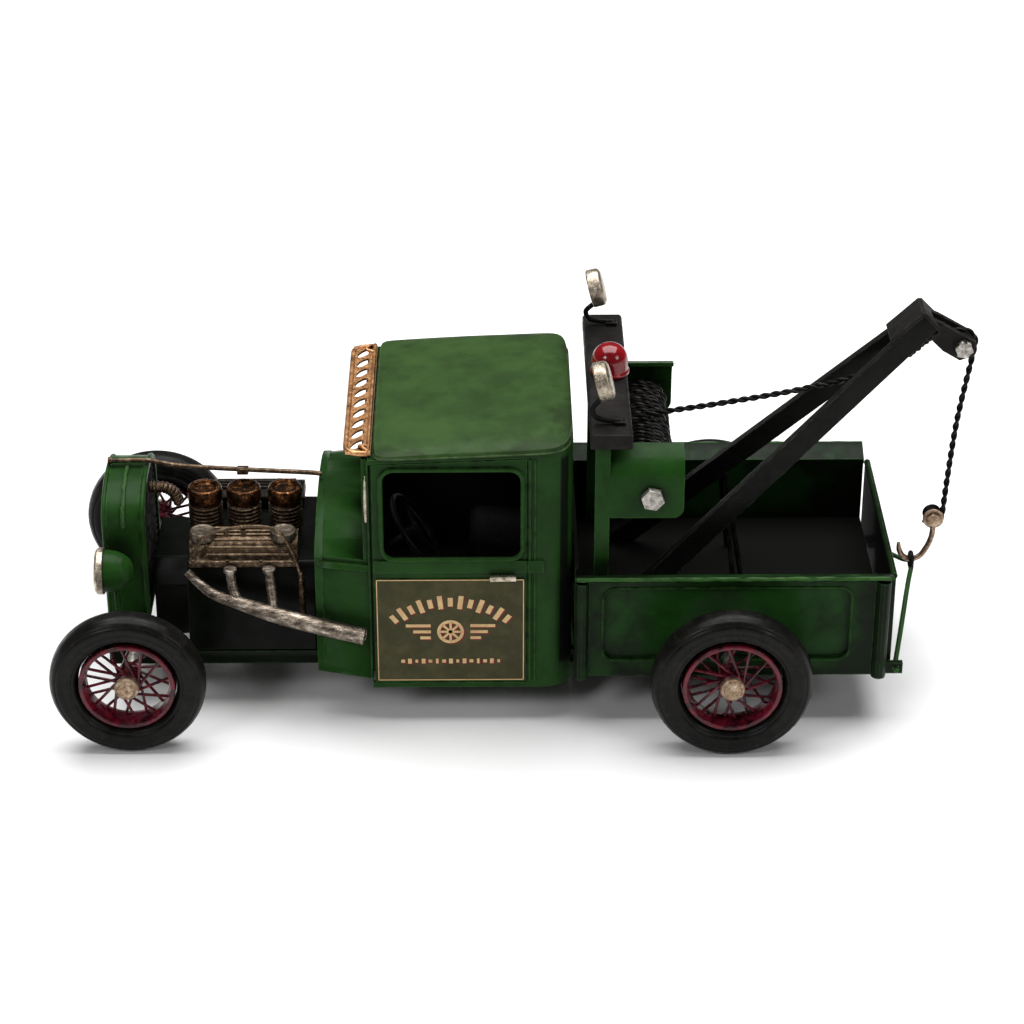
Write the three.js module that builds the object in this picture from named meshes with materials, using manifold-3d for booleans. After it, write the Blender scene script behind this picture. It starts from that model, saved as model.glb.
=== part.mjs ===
import * as THREE from 'three';
import { mergeVertices } from 'three/addons/utils/BufferGeometryUtils.js';
import Module from 'manifold-3d';

const wasm = await Module();
wasm.setup();

// Hand-made sheet-metal tow truck. Millimetres, +X to the front, +Y to the left side, +Z up.
// Every size is laid out from the middle of the wheelbase on the ground; the whole group is
// moved at the end so that the origin is the bottom centre of its bounding box.

const GAP = 0.3;
const MERGE = 1e-4;

// Wheels.
const HALF_WHEELBASE = 102.5;
const FRONT = { x: HALF_WHEELBASE, radius: 26.6, plane: 57.4 };
const REAR = { x: -HALF_WHEELBASE, radius: 27.5, plane: 61.2 };
const TYRE_RADIAL = 0.185;
const TYRE_HALF_WIDTH = 5.4;
const RIM_RADIUS = 0.618;
const RIM_HALF_WIDTH = 4.4;
const HUB_RADIUS = 4.2;
const HUB_OUT = 3.5;
const HUB_IN = 6.0;
const AXLE_RADIUS = 2.0;
const SPOKE_PAIRS = 9;
const SPOKE_RADIUS = 0.5;

// Chassis.
const RAIL = { inner: 28, outer: 31, low: 17, high: 22, rear: -156.5, front: 112 };

// Cab.
const CAB = { front: 19.9, rear: -48.8, half: 43, wall: 1.5, low: 14.4, floor: 24, corner: 10 };
const DOOR = { front: 18.9, rear: -33.1, low: 16.6, thick: 1.5 };
const WINDOW = { front: 15.4, rear: -31.3, low: 65.8, high: 99.6, corner: 4 };
const SIGN = { front: 18.2, rear: -32.4, low: 17.4, high: 58, thick: 0.5 };
const BELT = { low: 60.5, high: 65.2, proud: 0.8 };
const HEADER = 1.6;
const ROOF = {
  front: 18.3, rear: -48.6, half: 45, edge: 0.8, crown: 2.6, dome: 1.8, thick: 1, frontPower: 20, rearPower: 9,
};
const COWL = { rear: 20.3, front: 39, halfRear: 41, halfFront: 37.5, side: 64, crown: 73 };

// Bed.
const BED = { front: -49.4, rear: -157, inner: 41.2, outer: 45, low: 20, rail: 57.2, floor: 34 };

// Winch, bar and boom.
const DRUM = { x: -75.3, z: 87.7, coil: 8.7, left: 34 };
const PLATE = { outer: 40, thick: 1.4, front: -59, rear: -86, low: 79.5 };
const BAR = { front: -54, rear: -68, half: 46.5, low: 109, high: 114.3 };
const BOOM_FOOT = new THREE.Vector3(-57, 26.3, 25);
const BOOM_TIP = new THREE.Vector3(-157.4, 5.6, 122.5);
const BOOM_PAST_FOOT = 18.2;
const BOOM_PAST_TIP = 17.8;
const BOOM_DEEP = 7.4;
const SHEAVE = { x: -182, z: 125.3, radius: 4.3, root: 3.2 };
const BLOCK = { x: -176.6, z: 57.8, radius: 3.3, root: 2.1 };
const ROPE_RADIUS = 1.1;
const EYE = { x: -160.7, z: 21.8 };

const GREEN = 0x1d4a22;
const BLACK = 0x121212;
const STEEL = 0xb4b0a8;
const BRONZE = 0x7d6b58;
const COPPER = 0xb56b2e;
const CRIMSON = 0x7a1424;

/** Position-only copy of a geometry with shared vertices and no collapsed triangles. */
function welded(geometry) {
  const plain = new THREE.BufferGeometry();
  plain.setAttribute('position', geometry.getAttribute('position').clone());
  if (geometry.index) plain.setIndex(geometry.index.clone());
  const merged = mergeVertices(plain, MERGE);
  const kept = [];
  const index = merged.index.array;
  for (let i = 0; i < index.length; i += 3) {
    const [a, b, c] = [index[i], index[i + 1], index[i + 2]];
    if (a !== b && b !== c && c !== a) kept.push(a, b, c);
  }
  merged.setIndex(kept);
  return merged;
}

/** Manifold solid of a closed geometry. */
function solid(geometry) {
  const source = welded(geometry);
  const mesh = new wasm.Mesh({
    numProp: 3,
    vertProperties: new Float32Array(source.getAttribute('position').array),
    triVerts: new Uint32Array(source.index.array),
  });
  return new wasm.Manifold(mesh);
}

/** Flat-shaded geometry of a manifold solid. */
function geometryOf(body) {
  const mesh = body.getMesh();
  const indexed = new THREE.BufferGeometry();
  const points = new Float32Array(mesh.numVert * 3);
  for (let i = 0; i < mesh.numVert; i += 1) {
    for (let k = 0; k < 3; k += 1) points[i * 3 + k] = mesh.vertProperties[i * mesh.numProp + k];
  }
  indexed.setAttribute('position', new THREE.BufferAttribute(points, 3));
  indexed.setIndex(Array.from(mesh.triVerts));
  const faceted = indexed.toNonIndexed();
  faceted.computeVertexNormals();
  return faceted;
}

/** One solid from many that overlap. */
function joined(...bodies) {
  return bodies.reduce((sum, body) => sum.add(body));
}

/** Box between two corners. */
function block(x0, x1, y0, y1, z0, z1) {
  const size = new THREE.BoxGeometry(Math.abs(x1 - x0), Math.abs(y1 - y0), Math.abs(z1 - z0));
  return solid(size.translate((x0 + x1) / 2, (y0 + y1) / 2, (z0 + z1) / 2));
}

/** Cylinder along X, Y or Z, centred at a point. */
function cylinder(axis, radius, length, centre, sides = 24, topRadius = radius) {
  const shape = new THREE.CylinderGeometry(topRadius, radius, length, sides);
  if (axis === 'x') shape.rotateZ(-Math.PI / 2);
  if (axis === 'z') shape.rotateX(Math.PI / 2);
  return solid(shape.translate(...centre));
}

/** Closed outline of [along, up] points pushed from one Y to another. */
function prismXZ(points, y0, y1) {
  const shape = new THREE.Shape(points.map(([x, z]) => new THREE.Vector2(x, z)));
  return pushedXZ(shape, y0, y1);
}

function pushedXZ(shape, y0, y1, segments = 6) {
  const depth = Math.abs(y1 - y0);
  const geometry = new THREE.ExtrudeGeometry(shape, { depth, bevelEnabled: false, curveSegments: segments });
  return solid(geometry.rotateX(Math.PI / 2).translate(0, Math.max(y0, y1), 0));
}

/** Closed outline of [across, up] points pushed from one X to another. */
function prismYZ(points, x0, x1) {
  const shape = new THREE.Shape(points.map(([y, z]) => new THREE.Vector2(y, z)));
  const depth = Math.abs(x1 - x0);
  const geometry = new THREE.ExtrudeGeometry(shape, { depth, bevelEnabled: false });
  geometry.rotateX(Math.PI / 2).rotateZ(Math.PI / 2);
  return solid(geometry.translate(Math.min(x0, x1), 0, 0));
}

/** Plan outline pushed from one height to another. */
function prismXY(shape, z0, z1, segments = 5) {
  const options = { depth: z1 - z0, bevelEnabled: false, curveSegments: segments };
  return solid(new THREE.ExtrudeGeometry(shape, options).translate(0, 0, z0));
}

/** Rectangle with rounded corners, as a shape. */
function roundedRectangle(x0, x1, z0, z1, radius) {
  const s = new THREE.Shape();
  s.moveTo(x0 + radius, z0);
  s.lineTo(x1 - radius, z0);
  s.absarc(x1 - radius, z0 + radius, radius, -Math.PI / 2, 0);
  s.lineTo(x1, z1 - radius);
  s.absarc(x1 - radius, z1 - radius, radius, 0, Math.PI / 2);
  s.lineTo(x0 + radius, z1);
  s.absarc(x0 + radius, z1 - radius, radius, Math.PI / 2, Math.PI);
  s.lineTo(x0, z0 + radius);
  s.absarc(x0 + radius, z0 + radius, radius, Math.PI, Math.PI * 1.5);
  return s;
}

/** Body of revolution of a closed [radius, along] profile about X, Y or Z through a point. */
function turned(axis, profile, centre, sides = 24) {
  const closed = [...profile, profile[0]].map(([r, h]) => new THREE.Vector2(r, h));
  const shape = new THREE.LatheGeometry(closed, sides);
  if (axis === 'x') shape.rotateZ(-Math.PI / 2);
  if (axis === 'z') shape.rotateX(Math.PI / 2);
  return solid(shape.translate(...centre));
}

/** Round bar along a smooth line, with a radius that may change along it. */
function bar(points, radius, sides = 8, steps = 12) {
  const line = new THREE.CatmullRomCurve3(points.map((p) => new THREE.Vector3(...p)), false, 'centripetal');
  const frames = line.computeFrenetFrames(steps, false);
  const positions = [];
  const index = [];
  for (let i = 0; i <= steps; i += 1) {
    const t = i / steps;
    const at = line.getPointAt(t);
    const r = typeof radius === 'function' ? radius(t) : radius;
    for (let j = 0; j < sides; j += 1) {
      const a = (2 * Math.PI * j) / sides;
      const p = at.clone();
      p.addScaledVector(frames.normals[i], Math.cos(a) * r);
      p.addScaledVector(frames.binormals[i], Math.sin(a) * r);
      positions.push(p.x, p.y, p.z);
    }
  }
  for (let i = 0; i < steps; i += 1) {
    for (let j = 0; j < sides; j += 1) {
      const a = i * sides + j;
      const b = i * sides + ((j + 1) % sides);
      index.push(a, b, b + sides, a, b + sides, a + sides);
    }
  }
  const last = steps * sides;
  for (let j = 1; j < sides - 1; j += 1) {
    index.push(0, j + 1, j);
    index.push(last, last + j, last + j + 1);
  }
  const geometry = new THREE.BufferGeometry();
  geometry.setAttribute('position', new THREE.BufferAttribute(new Float32Array(positions), 3));
  geometry.setIndex(index);
  return solid(geometry);
}

/** Straight round bar between two points. */
function rod(from, to, radius, sides = 8) {
  return bar([from, to], radius, sides, 1);
}

/** Ring of round wire about an axis. */
function ring(axis, radius, wire, centre, around = 16, sides = 6) {
  const shape = new THREE.TorusGeometry(radius, wire, sides, around);
  if (axis === 'x') shape.rotateY(Math.PI / 2);
  if (axis === 'y') shape.rotateX(Math.PI / 2);
  return solid(shape.translate(...centre));
}

/** Six-sided nut along Y. */
function nut(acrossFlats, y0, y1, x, z) {
  const radius = acrossFlats / Math.sqrt(3);
  return cylinder('y', radius, Math.abs(y1 - y0), [x, (y0 + y1) / 2, z], 6);
}

/** The same solid on the other side of the truck. */
function mirrored(body) {
  return body.mirror([0, 1, 0]);
}

const group = new THREE.Group();
group.name = 'tow_truck';

function piece(name, body, colour, roughness, metalness) {
  const material = new THREE.MeshStandardMaterial({ color: colour, roughness, metalness });
  material.name = name;
  const mesh = new THREE.Mesh(geometryOf(body), material);
  mesh.name = name;
  group.add(mesh);
}

/** A left piece and its mirror image on the right. */
function pair(name, body, colour, roughness, metalness) {
  piece(`${name}_left`, body, colour, roughness, metalness);
  piece(`${name}_right`, mirrored(body), colour, roughness, metalness);
}

// ---- Wheels -------------------------------------------------------------------------------

function tyre({ x, radius, plane }) {
  const half = TYRE_RADIAL * radius;
  const middle = radius - half;
  const inner = radius - 2 * half;
  const outline = [[radius, 2.0], [radius - 1.6, 4.4], [middle, TYRE_HALF_WIDTH], [inner, 4.0]];
  const mirror = outline.map(([r, y]) => [r, -y]).reverse();
  const profile = [...outline, ...mirror];
  return turned('y', profile, [x, plane, radius], 32);
}

function wireWheel({ x, radius, plane }) {
  const rim = RIM_RADIUS * radius;
  const well = rim - 2.4;
  const lip = rim - 1.4;
  const profile = [
    [rim, -RIM_HALF_WIDTH],
    [rim, RIM_HALF_WIDTH],
    [lip, RIM_HALF_WIDTH],
    [well, 2.2],
    [well, -2.2],
    [lip, -RIM_HALF_WIDTH],
  ];
  let body = turned('y', profile, [x, plane, radius], 24);
  const hub = [
    [AXLE_RADIUS + GAP, -HUB_IN],
    [HUB_RADIUS, -HUB_IN],
    [HUB_RADIUS, HUB_OUT],
    [AXLE_RADIUS + GAP, HUB_OUT],
  ];
  body = body.add(turned('y', hub, [x, plane, radius], 10));
  const reach = well + 0.7;
  const cross = 0.62;
  for (let i = 0; i < SPOKE_PAIRS * 2; i += 1) {
    const slot = (Math.PI * i) / SPOKE_PAIRS;
    const lean = i % 2 ? cross : -cross;
    const atHub = i % 2 ? 2.2 : -2.6;
    const start = HUB_RADIUS - 0.6;
    const from = [x + start * Math.cos(slot + lean), plane + atHub, radius + start * Math.sin(slot + lean)];
    const to = [x + reach * Math.cos(slot), plane + (i % 2 ? 0.7 : -0.7), radius + reach * Math.sin(slot)];
    body = body.add(rod(from, to, SPOKE_RADIUS, 3));
  }
  return body;
}

function hubCap({ x, radius, plane }) {
  const base = HUB_OUT + GAP;
  const profile = [
    [0, base],
    [HUB_RADIUS, base],
    [HUB_RADIUS, base + 1.6],
    [3.2, base + 2.6],
    [2.0, base + 3.0],
    [0, base + 3.0],
  ];
  return turned('y', profile, [x, plane, radius], 12);
}

function axle({ x, radius, plane }) {
  const reach = plane + HUB_OUT - 0.6;
  return cylinder('y', AXLE_RADIUS, reach * 2, [x, 0, radius], 16);
}

for (const [end, sizes] of [['front', FRONT], ['rear', REAR]]) {
  pair(`tyre_${end}`, tyre(sizes), BLACK, 0.6, 0);
  pair(`wire_wheel_${end}`, wireWheel(sizes), CRIMSON, 0.4, 0.5);
  pair(`hub_cap_${end}`, hubCap(sizes), STEEL, 0.45, 0.8);
  piece(`${end}_axle`, axle(sizes), STEEL, 0.4, 0.9);
}

// ---- Chassis ------------------------------------------------------------------------------

function chassisFrame() {
  const rail = block(RAIL.rear, RAIL.front, RAIL.inner, RAIL.outer, RAIL.low, RAIL.high);
  let frame = rail.add(mirrored(rail));
  for (const x of [-150, -60, 10, 62]) {
    frame = frame.add(block(x - 3, x + 3, -RAIL.outer + 1, RAIL.outer - 1, RAIL.low, RAIL.low + 3));
  }
  const saddle = block(107.6, 111.6, -RAIL.outer + 1, RAIL.outer - 1, RAIL.low, 29.2);
  frame = frame.add(saddle);
  for (const { x, radius } of [FRONT, REAR]) {
    for (const side of [-1, 1]) {
      const lug = block(x - 4, x + 4, side * RAIL.inner, side * RAIL.outer, RAIL.low, radius + 4.2);
      frame = frame.add(lug);
    }
    frame = frame.subtract(cylinder('y', AXLE_RADIUS + GAP, 80, [x, 0, radius], 16));
  }
  return frame;
}
piece('chassis_frame', chassisFrame(), GREEN, 0.35, 0.4);

// ---- Cab ----------------------------------------------------------------------------------

/** Height of the cab's top edge, which rises slightly to the rear. */
function cabTop(x) {
  return 103.5 + (CAB.front - x) * 0.04;
}

/** Plan outline of the cab, with round rear corners, drawn in by a margin. */
function cabPlan(margin, front) {
  const half = CAB.half - margin;
  const rear = CAB.rear + margin;
  const corner = CAB.corner - margin;
  const s = new THREE.Shape();
  s.moveTo(front, -half);
  s.lineTo(front, half);
  s.lineTo(rear + corner, half);
  s.absarc(rear + corner, half - corner, corner, Math.PI / 2, Math.PI);
  s.lineTo(rear, -half + corner);
  s.absarc(rear + corner, -half + corner, corner, Math.PI, Math.PI * 1.5);
  return s;
}

/** Everything above the cab's top edge, lowered by a drop. */
function aboveCab(drop, x0, x1, y0, y1) {
  const points = [[x0, cabTop(x0) - drop], [x1, cabTop(x1) - drop], [x1, 140], [x0, 140]];
  return prismXZ(points, y0, y1);
}

function cabBody() {
  let body = prismXY(cabPlan(0, CAB.front), CAB.low, 108);
  body = body.subtract(prismXY(cabPlan(CAB.wall, CAB.front - CAB.wall), CAB.floor, 120));
  body = body.subtract(prismXY(cabPlan(CAB.wall, 60), 0, CAB.floor - CAB.wall));
  body = body.subtract(block(-60, -40, -36, 36, 0, CAB.floor - CAB.wall));
  body = body.subtract(aboveCab(0, -60, 30, -60, 60));
  const opening = [
    [DOOR.rear - GAP, DOOR.low - GAP],
    [30, DOOR.low - GAP],
    [30, cabTop(30) - HEADER],
    [DOOR.rear - GAP, cabTop(DOOR.rear) - HEADER],
  ];
  for (const side of [-1, 1]) {
    body = body.subtract(prismXZ(opening, side * (CAB.half - CAB.wall - 0.6), side * 60));
  }
  const inner = CAB.half - CAB.wall;
  const sill = cabTop(CAB.front) - HEADER;
  const front = [[-inner, CAB.floor], [inner, CAB.floor], [inner, sill], [-inner, sill]];
  body = body.subtract(prismYZ(front, 15, 25));
  const glass = roundedRectangle(-20, 20, 74, 93, 4);
  const pane = new THREE.ExtrudeGeometry(glass, { depth: 10, bevelEnabled: false, curveSegments: 4 });
  pane.rotateX(Math.PI / 2).rotateZ(Math.PI / 2).translate(CAB.rear - 5, 0, 0);
  body = body.subtract(solid(pane));
  for (const side of [-1, 1]) {
    const y0 = side * (CAB.half - 0.4);
    const y1 = side * (CAB.half + BELT.proud);
    body = body.add(block(DOOR.rear - GAP, CAB.rear + CAB.corner, y0, y1, BELT.low, BELT.high));
  }
  return body;
}
piece('cab_body', cabBody(), GREEN, 0.32, 0.4);

/** Domed roof shell: rings of the plan outline drawn in towards the middle. */
function cabRoof() {
  const around = 28;
  const rings = [1, 0.97, 0.88, 0.7, 0.4];
  const length = (ROOF.front - ROOF.rear) / 2;
  const middle = (ROOF.front + ROOF.rear) / 2;
  const outline = (a) => {
    const c = Math.cos(a);
    const s = Math.sin(a);
    const power = c > 0 ? ROOF.frontPower : ROOF.rearPower;
    const k = (Math.abs(c) ** power + Math.abs(s) ** power) ** (-1 / power);
    return [c * k * length, s * k * ROOF.half];
  };
  const height = (u, v) => {
    const side = Math.sqrt(Math.max(0, 1 - Math.abs(v) ** 8));
    const end = u > 0 ? 1 - 0.72 * u * u : Math.sqrt(Math.max(0, 1 - Math.abs(u) ** 8));
    return ROOF.edge + ROOF.crown * side * end + ROOF.dome * (1 - v * v);
  };
  const positions = [];
  const index = [];
  const layer = (shift, shrink) => {
    const first = positions.length / 3;
    for (const t of rings) {
      for (let j = 0; j < around; j += 1) {
        const [u, v] = outline((2 * Math.PI * (j + 0.5)) / around);
        const x = middle + u * t * shrink;
        const rise = height((u * t) / length, (v * t) / ROOF.half);
        positions.push(x, v * t * shrink, cabTop(x) + GAP + rise + shift);
      }
    }
    positions.push(middle, 0, cabTop(middle) + GAP + height(0, 0) + shift);
    return first;
  };
  const top = layer(0, 1);
  const count = positions.length / 3;
  const under = layer(-ROOF.thick, 0.972);
  const hem = [];
  for (const shrink of [1, 0.972]) {
    hem.push(positions.length / 3);
    for (let j = 0; j < around; j += 1) {
      const [u, v] = outline((2 * Math.PI * (j + 0.5)) / around);
      const x = middle + u * shrink;
      positions.push(x, v * shrink, cabTop(x) + GAP);
    }
  }
  const band = (a0, b0, flip) => {
    for (let j = 0; j < around; j += 1) {
      const n = (j + 1) % around;
      const quad = [a0 + j, a0 + n, b0 + n, b0 + j];
      if (flip) quad.reverse();
      index.push(quad[0], quad[1], quad[2], quad[0], quad[2], quad[3]);
    }
  };
  for (let i = 0; i < rings.length - 1; i += 1) {
    band(top + i * around, top + (i + 1) * around, false);
    band(under + i * around, under + (i + 1) * around, true);
  }
  const lastTop = top + (rings.length - 1) * around;
  const lastUnder = under + (rings.length - 1) * around;
  const poleTop = count - 1;
  const poleUnder = under + rings.length * around;
  for (let j = 0; j < around; j += 1) {
    const n = (j + 1) % around;
    index.push(lastTop + j, lastTop + n, poleTop);
    index.push(lastUnder + n, lastUnder + j, poleUnder);
  }
  band(hem[0], top, false);
  band(hem[1], hem[0], false);
  band(under, hem[1], false);
  const geometry = new THREE.BufferGeometry();
  geometry.setAttribute('position', new THREE.BufferAttribute(new Float32Array(positions), 3));
  geometry.setIndex(index);
  return solid(geometry);
}
piece('cab_roof', cabRoof(), GREEN, 0.3, 0.4);

function door() {
  const y0 = CAB.half - DOOR.thick;
  const outline = [
    [DOOR.front, DOOR.low],
    [DOOR.front, cabTop(DOOR.front) - HEADER - GAP],
    [DOOR.rear, cabTop(DOOR.rear) - HEADER - GAP],
    [DOOR.rear, DOOR.low],
  ];
  let body = prismXZ(outline, y0, CAB.half);
  body = body.add(block(DOOR.rear, DOOR.front, y0, CAB.half + BELT.proud, BELT.low, BELT.high));
  const bead = 1.3;
  const raised = roundedRectangle(
    WINDOW.rear - bead, WINDOW.front + bead, WINDOW.low - 0.4, WINDOW.high + bead, WINDOW.corner + bead);
  body = body.add(pushedXZ(raised, y0 + 0.5, CAB.half + 0.7, 4));
  const hole = roundedRectangle(WINDOW.rear, WINDOW.front, WINDOW.low, WINDOW.high, WINDOW.corner);
  body = body.subtract(pushedXZ(hole, y0 - 5, CAB.half + 5, 4));
  body = body.add(block(SIGN.rear, SIGN.front, CAB.half - 0.4, CAB.half + SIGN.thick, SIGN.low, SIGN.high));
  const handle = [-24.6, CAB.half + 2.2, 59.2];
  const [hx, hy, hz] = handle;
  body = body.add(block(hx - 4.6, hx + 4.2, hy - 0.6, hy + 0.7, hz - 0.9, hz + 0.9));
  body = body.add(block(hx - 1, hx + 1, CAB.half - 0.5, hy, hz - 0.8, hz + 0.8));
  return body;
}
pair('door', door(), GREEN, 0.32, 0.4);

/** Height of the cowl's crowned top above a distance from the centre line. */
function cowlTop(y, half) {
  return COWL.crown - (COWL.crown - COWL.side) * (Math.abs(y) / half) ** 2.3;
}

/** Arch outline of the cowl from a bottom height, drawn in by a margin. */
function cowlArch(half, low, margin) {
  const points = [[-half + margin, low], [half - margin, low]];
  const steps = 10;
  for (let i = 0; i <= steps; i += 1) {
    const y = (half - margin) * (1 - (2 * i) / steps);
    points.push([y, cowlTop(y, half) - margin]);
  }
  return points;
}

/** Solid between two arches of the same number of points. */
function loft(near, far, x0, x1) {
  const positions = [];
  const index = [];
  for (const [points, x] of [[near, x0], [far, x1]]) {
    for (const [y, z] of points) positions.push(x, y, z);
  }
  const n = near.length;
  for (let j = 0; j < n; j += 1) {
    const k = (j + 1) % n;
    index.push(j, k, n + k, j, n + k, n + j);
  }
  const flat = near.map(([y, z]) => new THREE.Vector2(y, z));
  for (const [a, b, c] of THREE.ShapeUtils.triangulateShape(flat, [])) {
    index.push(a, c, b);
    index.push(n + a, n + b, n + c);
  }
  const geometry = new THREE.BufferGeometry();
  geometry.setAttribute('position', new THREE.BufferAttribute(new Float32Array(positions), 3));
  geometry.setIndex(index);
  return solid(geometry);
}

function cowl() {
  const wall = 1.5;
  let body = loft(cowlArch(COWL.halfRear, 16.8, 0), cowlArch(COWL.halfFront, 18, 0), COWL.rear, COWL.front);
  const inside = loft(
    cowlArch(COWL.halfRear, 10, wall), cowlArch(COWL.halfFront, 10, wall), COWL.rear - 0.01, COWL.front - wall);
  body = body.subtract(inside);
  body = body.subtract(block(10, 50, -36, 36, 0, 22.4));
  const rim = cowlArch(COWL.halfFront + 1, 22.4, 0);
  const flange = loft(rim, rim, 36.4, COWL.front);
  const cutaway = loft(cowlArch(COWL.halfFront + 1, 10, 2), cowlArch(COWL.halfFront + 1, 10, 2), 30, 37.5);
  body = body.add(flange.subtract(cutaway));
  const ridge = (side) => {
    const front = COWL.front - 1.5;
    const corners = [
      [COWL.rear, COWL.halfRear - 1], [front, COWL.halfFront - 1],
      [front, COWL.halfFront + 1.2], [COWL.rear, COWL.halfRear + 1],
    ];
    return prismXY(new THREE.Shape(corners.map(([x, y]) => new THREE.Vector2(x, side * y))), 60, 62.4);
  };
  body = joined(body, ridge(1), ridge(-1));
  return body;
}
piece('cowl', cowl(), GREEN, 0.32, 0.4);

/** Flat frame that stands on the cowl's arch and reaches up to the cab's header. */
function windshieldFrame() {
  const half = COWL.halfRear;
  const width = 2.6;
  const top = 102.9;
  const lift = GAP + 0.1;
  const steps = 12;
  const outer = [[-half, top]];
  const inner = [[width - half, top - width]];
  for (let i = 0; i <= steps; i += 1) {
    const y = half * (-1 + (2 * i) / steps);
    outer.push([y, cowlTop(Math.abs(y), half) + lift]);
    inner.push([y * (1 - width / half), cowlTop(Math.abs(y) * 0.93, half) + lift + width]);
  }
  outer.push([half, top]);
  inner.push([half - width, top - width]);
  return prismYZ(outer, COWL.rear, COWL.rear + 1.9).subtract(prismYZ(inner, 15, 30));
}
piece('windshield_frame', windshieldFrame(), GREEN, 0.35, 0.4);

function sunVisor() {
  const z0 = 104.1;
  const thick = 1.2;
  const back = 18.9;
  const lip = 27;
  const half = 41;
  let body = block(back, lip, -half, half, z0, z0 + thick);
  body = body.add(cylinder('y', 1.3, half * 2, [lip + 0.3, 0, z0 + 0.6], 10));
  const count = 10;
  const margin = 6.6;
  for (let i = 0; i < count; i += 1) {
    const oval = new THREE.CylinderGeometry(1, 1, 6, 10);
    oval.scale(3.8, 1, 1.5).rotateX(Math.PI / 2).rotateZ(1.05);
    oval.translate(23.5, -half + margin + (i * 2 * (half - margin)) / (count - 1), z0);
    body = body.subtract(solid(oval));
  }
  return body;
}
piece('sun_visor', sunVisor(), COPPER, 0.35, 0.9);

function benchSeat() {
  const points = [
    [-45, 24.4], [-14, 24.4], [-12.6, 27], [-13.4, 42.4], [-16, 44],
    [-36, 42.4], [-38.6, 66], [-40.6, 68], [-44, 68], [-45.4, 66],
  ];
  const body = prismXZ(points, -34, 34);
  return body;
}
piece('bench_seat', benchSeat(), 0x1a1512, 0.6, 0);

const WHEEL_TILT = 0.62;
const STEER = new THREE.Vector3(5, 18, 63);

function steeringWheel() {
  const axis = new THREE.Vector3(Math.cos(WHEEL_TILT), 0, -Math.sin(WHEEL_TILT));
  const side = new THREE.Vector3(0, 1, 0);
  const up = new THREE.Vector3().crossVectors(side, axis);
  const rim = new THREE.TorusGeometry(13.4, 1.0, 5, 20);
  const turn = new THREE.Matrix4().makeBasis(side, up, new THREE.Vector3().crossVectors(side, up));
  rim.applyMatrix4(turn).translate(...STEER);
  let body = solid(rim);
  const hub = STEER.clone();
  for (const a of [Math.PI / 2, Math.PI * 1.17, Math.PI * 1.83]) {
    const out = STEER.clone().addScaledVector(side, 13.4 * Math.cos(a)).addScaledVector(up, 13.4 * Math.sin(a));
    body = body.add(rod(hub.toArray(), out.toArray(), 0.8, 4));
  }
  const start = STEER.clone().addScaledVector(axis, -1.6);
  const end = STEER.clone().addScaledVector(axis, 26);
  return body.add(rod(start.toArray(), end.toArray(), 1.6, 8));
}
piece('steering_wheel', steeringWheel(), BLACK, 0.4, 0.1);

// ---- Engine -------------------------------------------------------------------------------

const ENGINE_TOP = 53.7;
const ENGINE = { rear: 39.6, front: 84, cover: 96.2 };

/** Block with a sloping skirt, a raised intake carrier and a timing cover at its front. */
function engineBlock() {
  const low = 22.4;
  const chamfer = 1.5;
  const points = [
    [-31, low], [31, low], [24.5, ENGINE_TOP - chamfer], [24.5 - chamfer, ENGINE_TOP],
    [chamfer - 24.5, ENGINE_TOP], [-24.5, ENGINE_TOP - chamfer],
  ];
  const body = prismYZ(points, ENGINE.rear, ENGINE.front);
  const carrier = block(46, 82, -2, 10, ENGINE_TOP - 1, ENGINE_TOP + 2);
  const cover = [[-20, low], [20, low], [20, 42], [14, 50.5], [-14, 50.5], [-20, 42]];
  return joined(body, carrier, prismYZ(cover, ENGINE.front - 1, ENGINE.cover));
}
piece('engine_block', engineBlock(), BLACK, 0.5, 0.4);

/** Valve cover of the left bank; rise scales its height, and only a tall one has filler caps. */
function valveCover(rise, caps) {
  const z0 = ENGINE_TOP + GAP;
  const outline = [[13.6, 0], [28.5, 0], [28.5, 2.2], [26.6, 3.4], [25, 7.6], [23, 9], [17, 9.4], [13.6, 6]];
  let body = prismYZ(outline.map(([y, h]) => [y, z0 + h * rise]), 45.5, 82.5);
  for (const y of [17.6, 20.4, 23.2]) {
    body = body.add(block(49.5, 76, y - 0.6, y + 0.6, z0 + 7 * rise, z0 + 10 * rise));
  }
  for (const x of caps) {
    body = body.add(cylinder('z', 4, 5, [x, 22, z0 + 9.6], 14));
  }
  return body;
}
piece('valve_cover_left', valveCover(1, [50.4, 78.2]), BRONZE, 0.45, 0.8);
piece('valve_cover_right', mirrored(valveCover(0.7, [])), BRONZE, 0.45, 0.8);

const STACK_Y = 4;

function intakeStack(x) {
  const z0 = ENGINE_TOP + 2 + GAP;
  const top = 73;
  const outer = 6.05;
  const neck = 5.3;
  const profile = [[0, z0], [neck, z0]];
  const ribs = 4;
  const ribFrom = z0 + 1.4;
  const pitch = 2.2;
  for (let i = 0; i < ribs; i += 1) {
    profile.push([neck - 0.1, ribFrom + i * pitch]);
    profile.push([outer, ribFrom + (i + 0.5) * pitch]);
  }
  profile.push([neck + 0.1, ribFrom + ribs * pitch + 0.2]);
  profile.push([outer, top - 4.2]);
  profile.push([outer, top - 0.9]);
  profile.push([outer - 0.9, top]);
  profile.push([outer - 1.8, top - 0.7]);
  profile.push([0, top - 1.1]);
  return turned('z', profile, [x, STACK_Y, 0], 14);
}
piece('intake_stack_front', intakeStack(78.5), COPPER, 0.35, 0.9);
piece('intake_stack_middle', intakeStack(65.0), COPPER, 0.35, 0.9);
piece('intake_stack_rear', intakeStack(50.6), COPPER, 0.35, 0.9);

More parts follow.
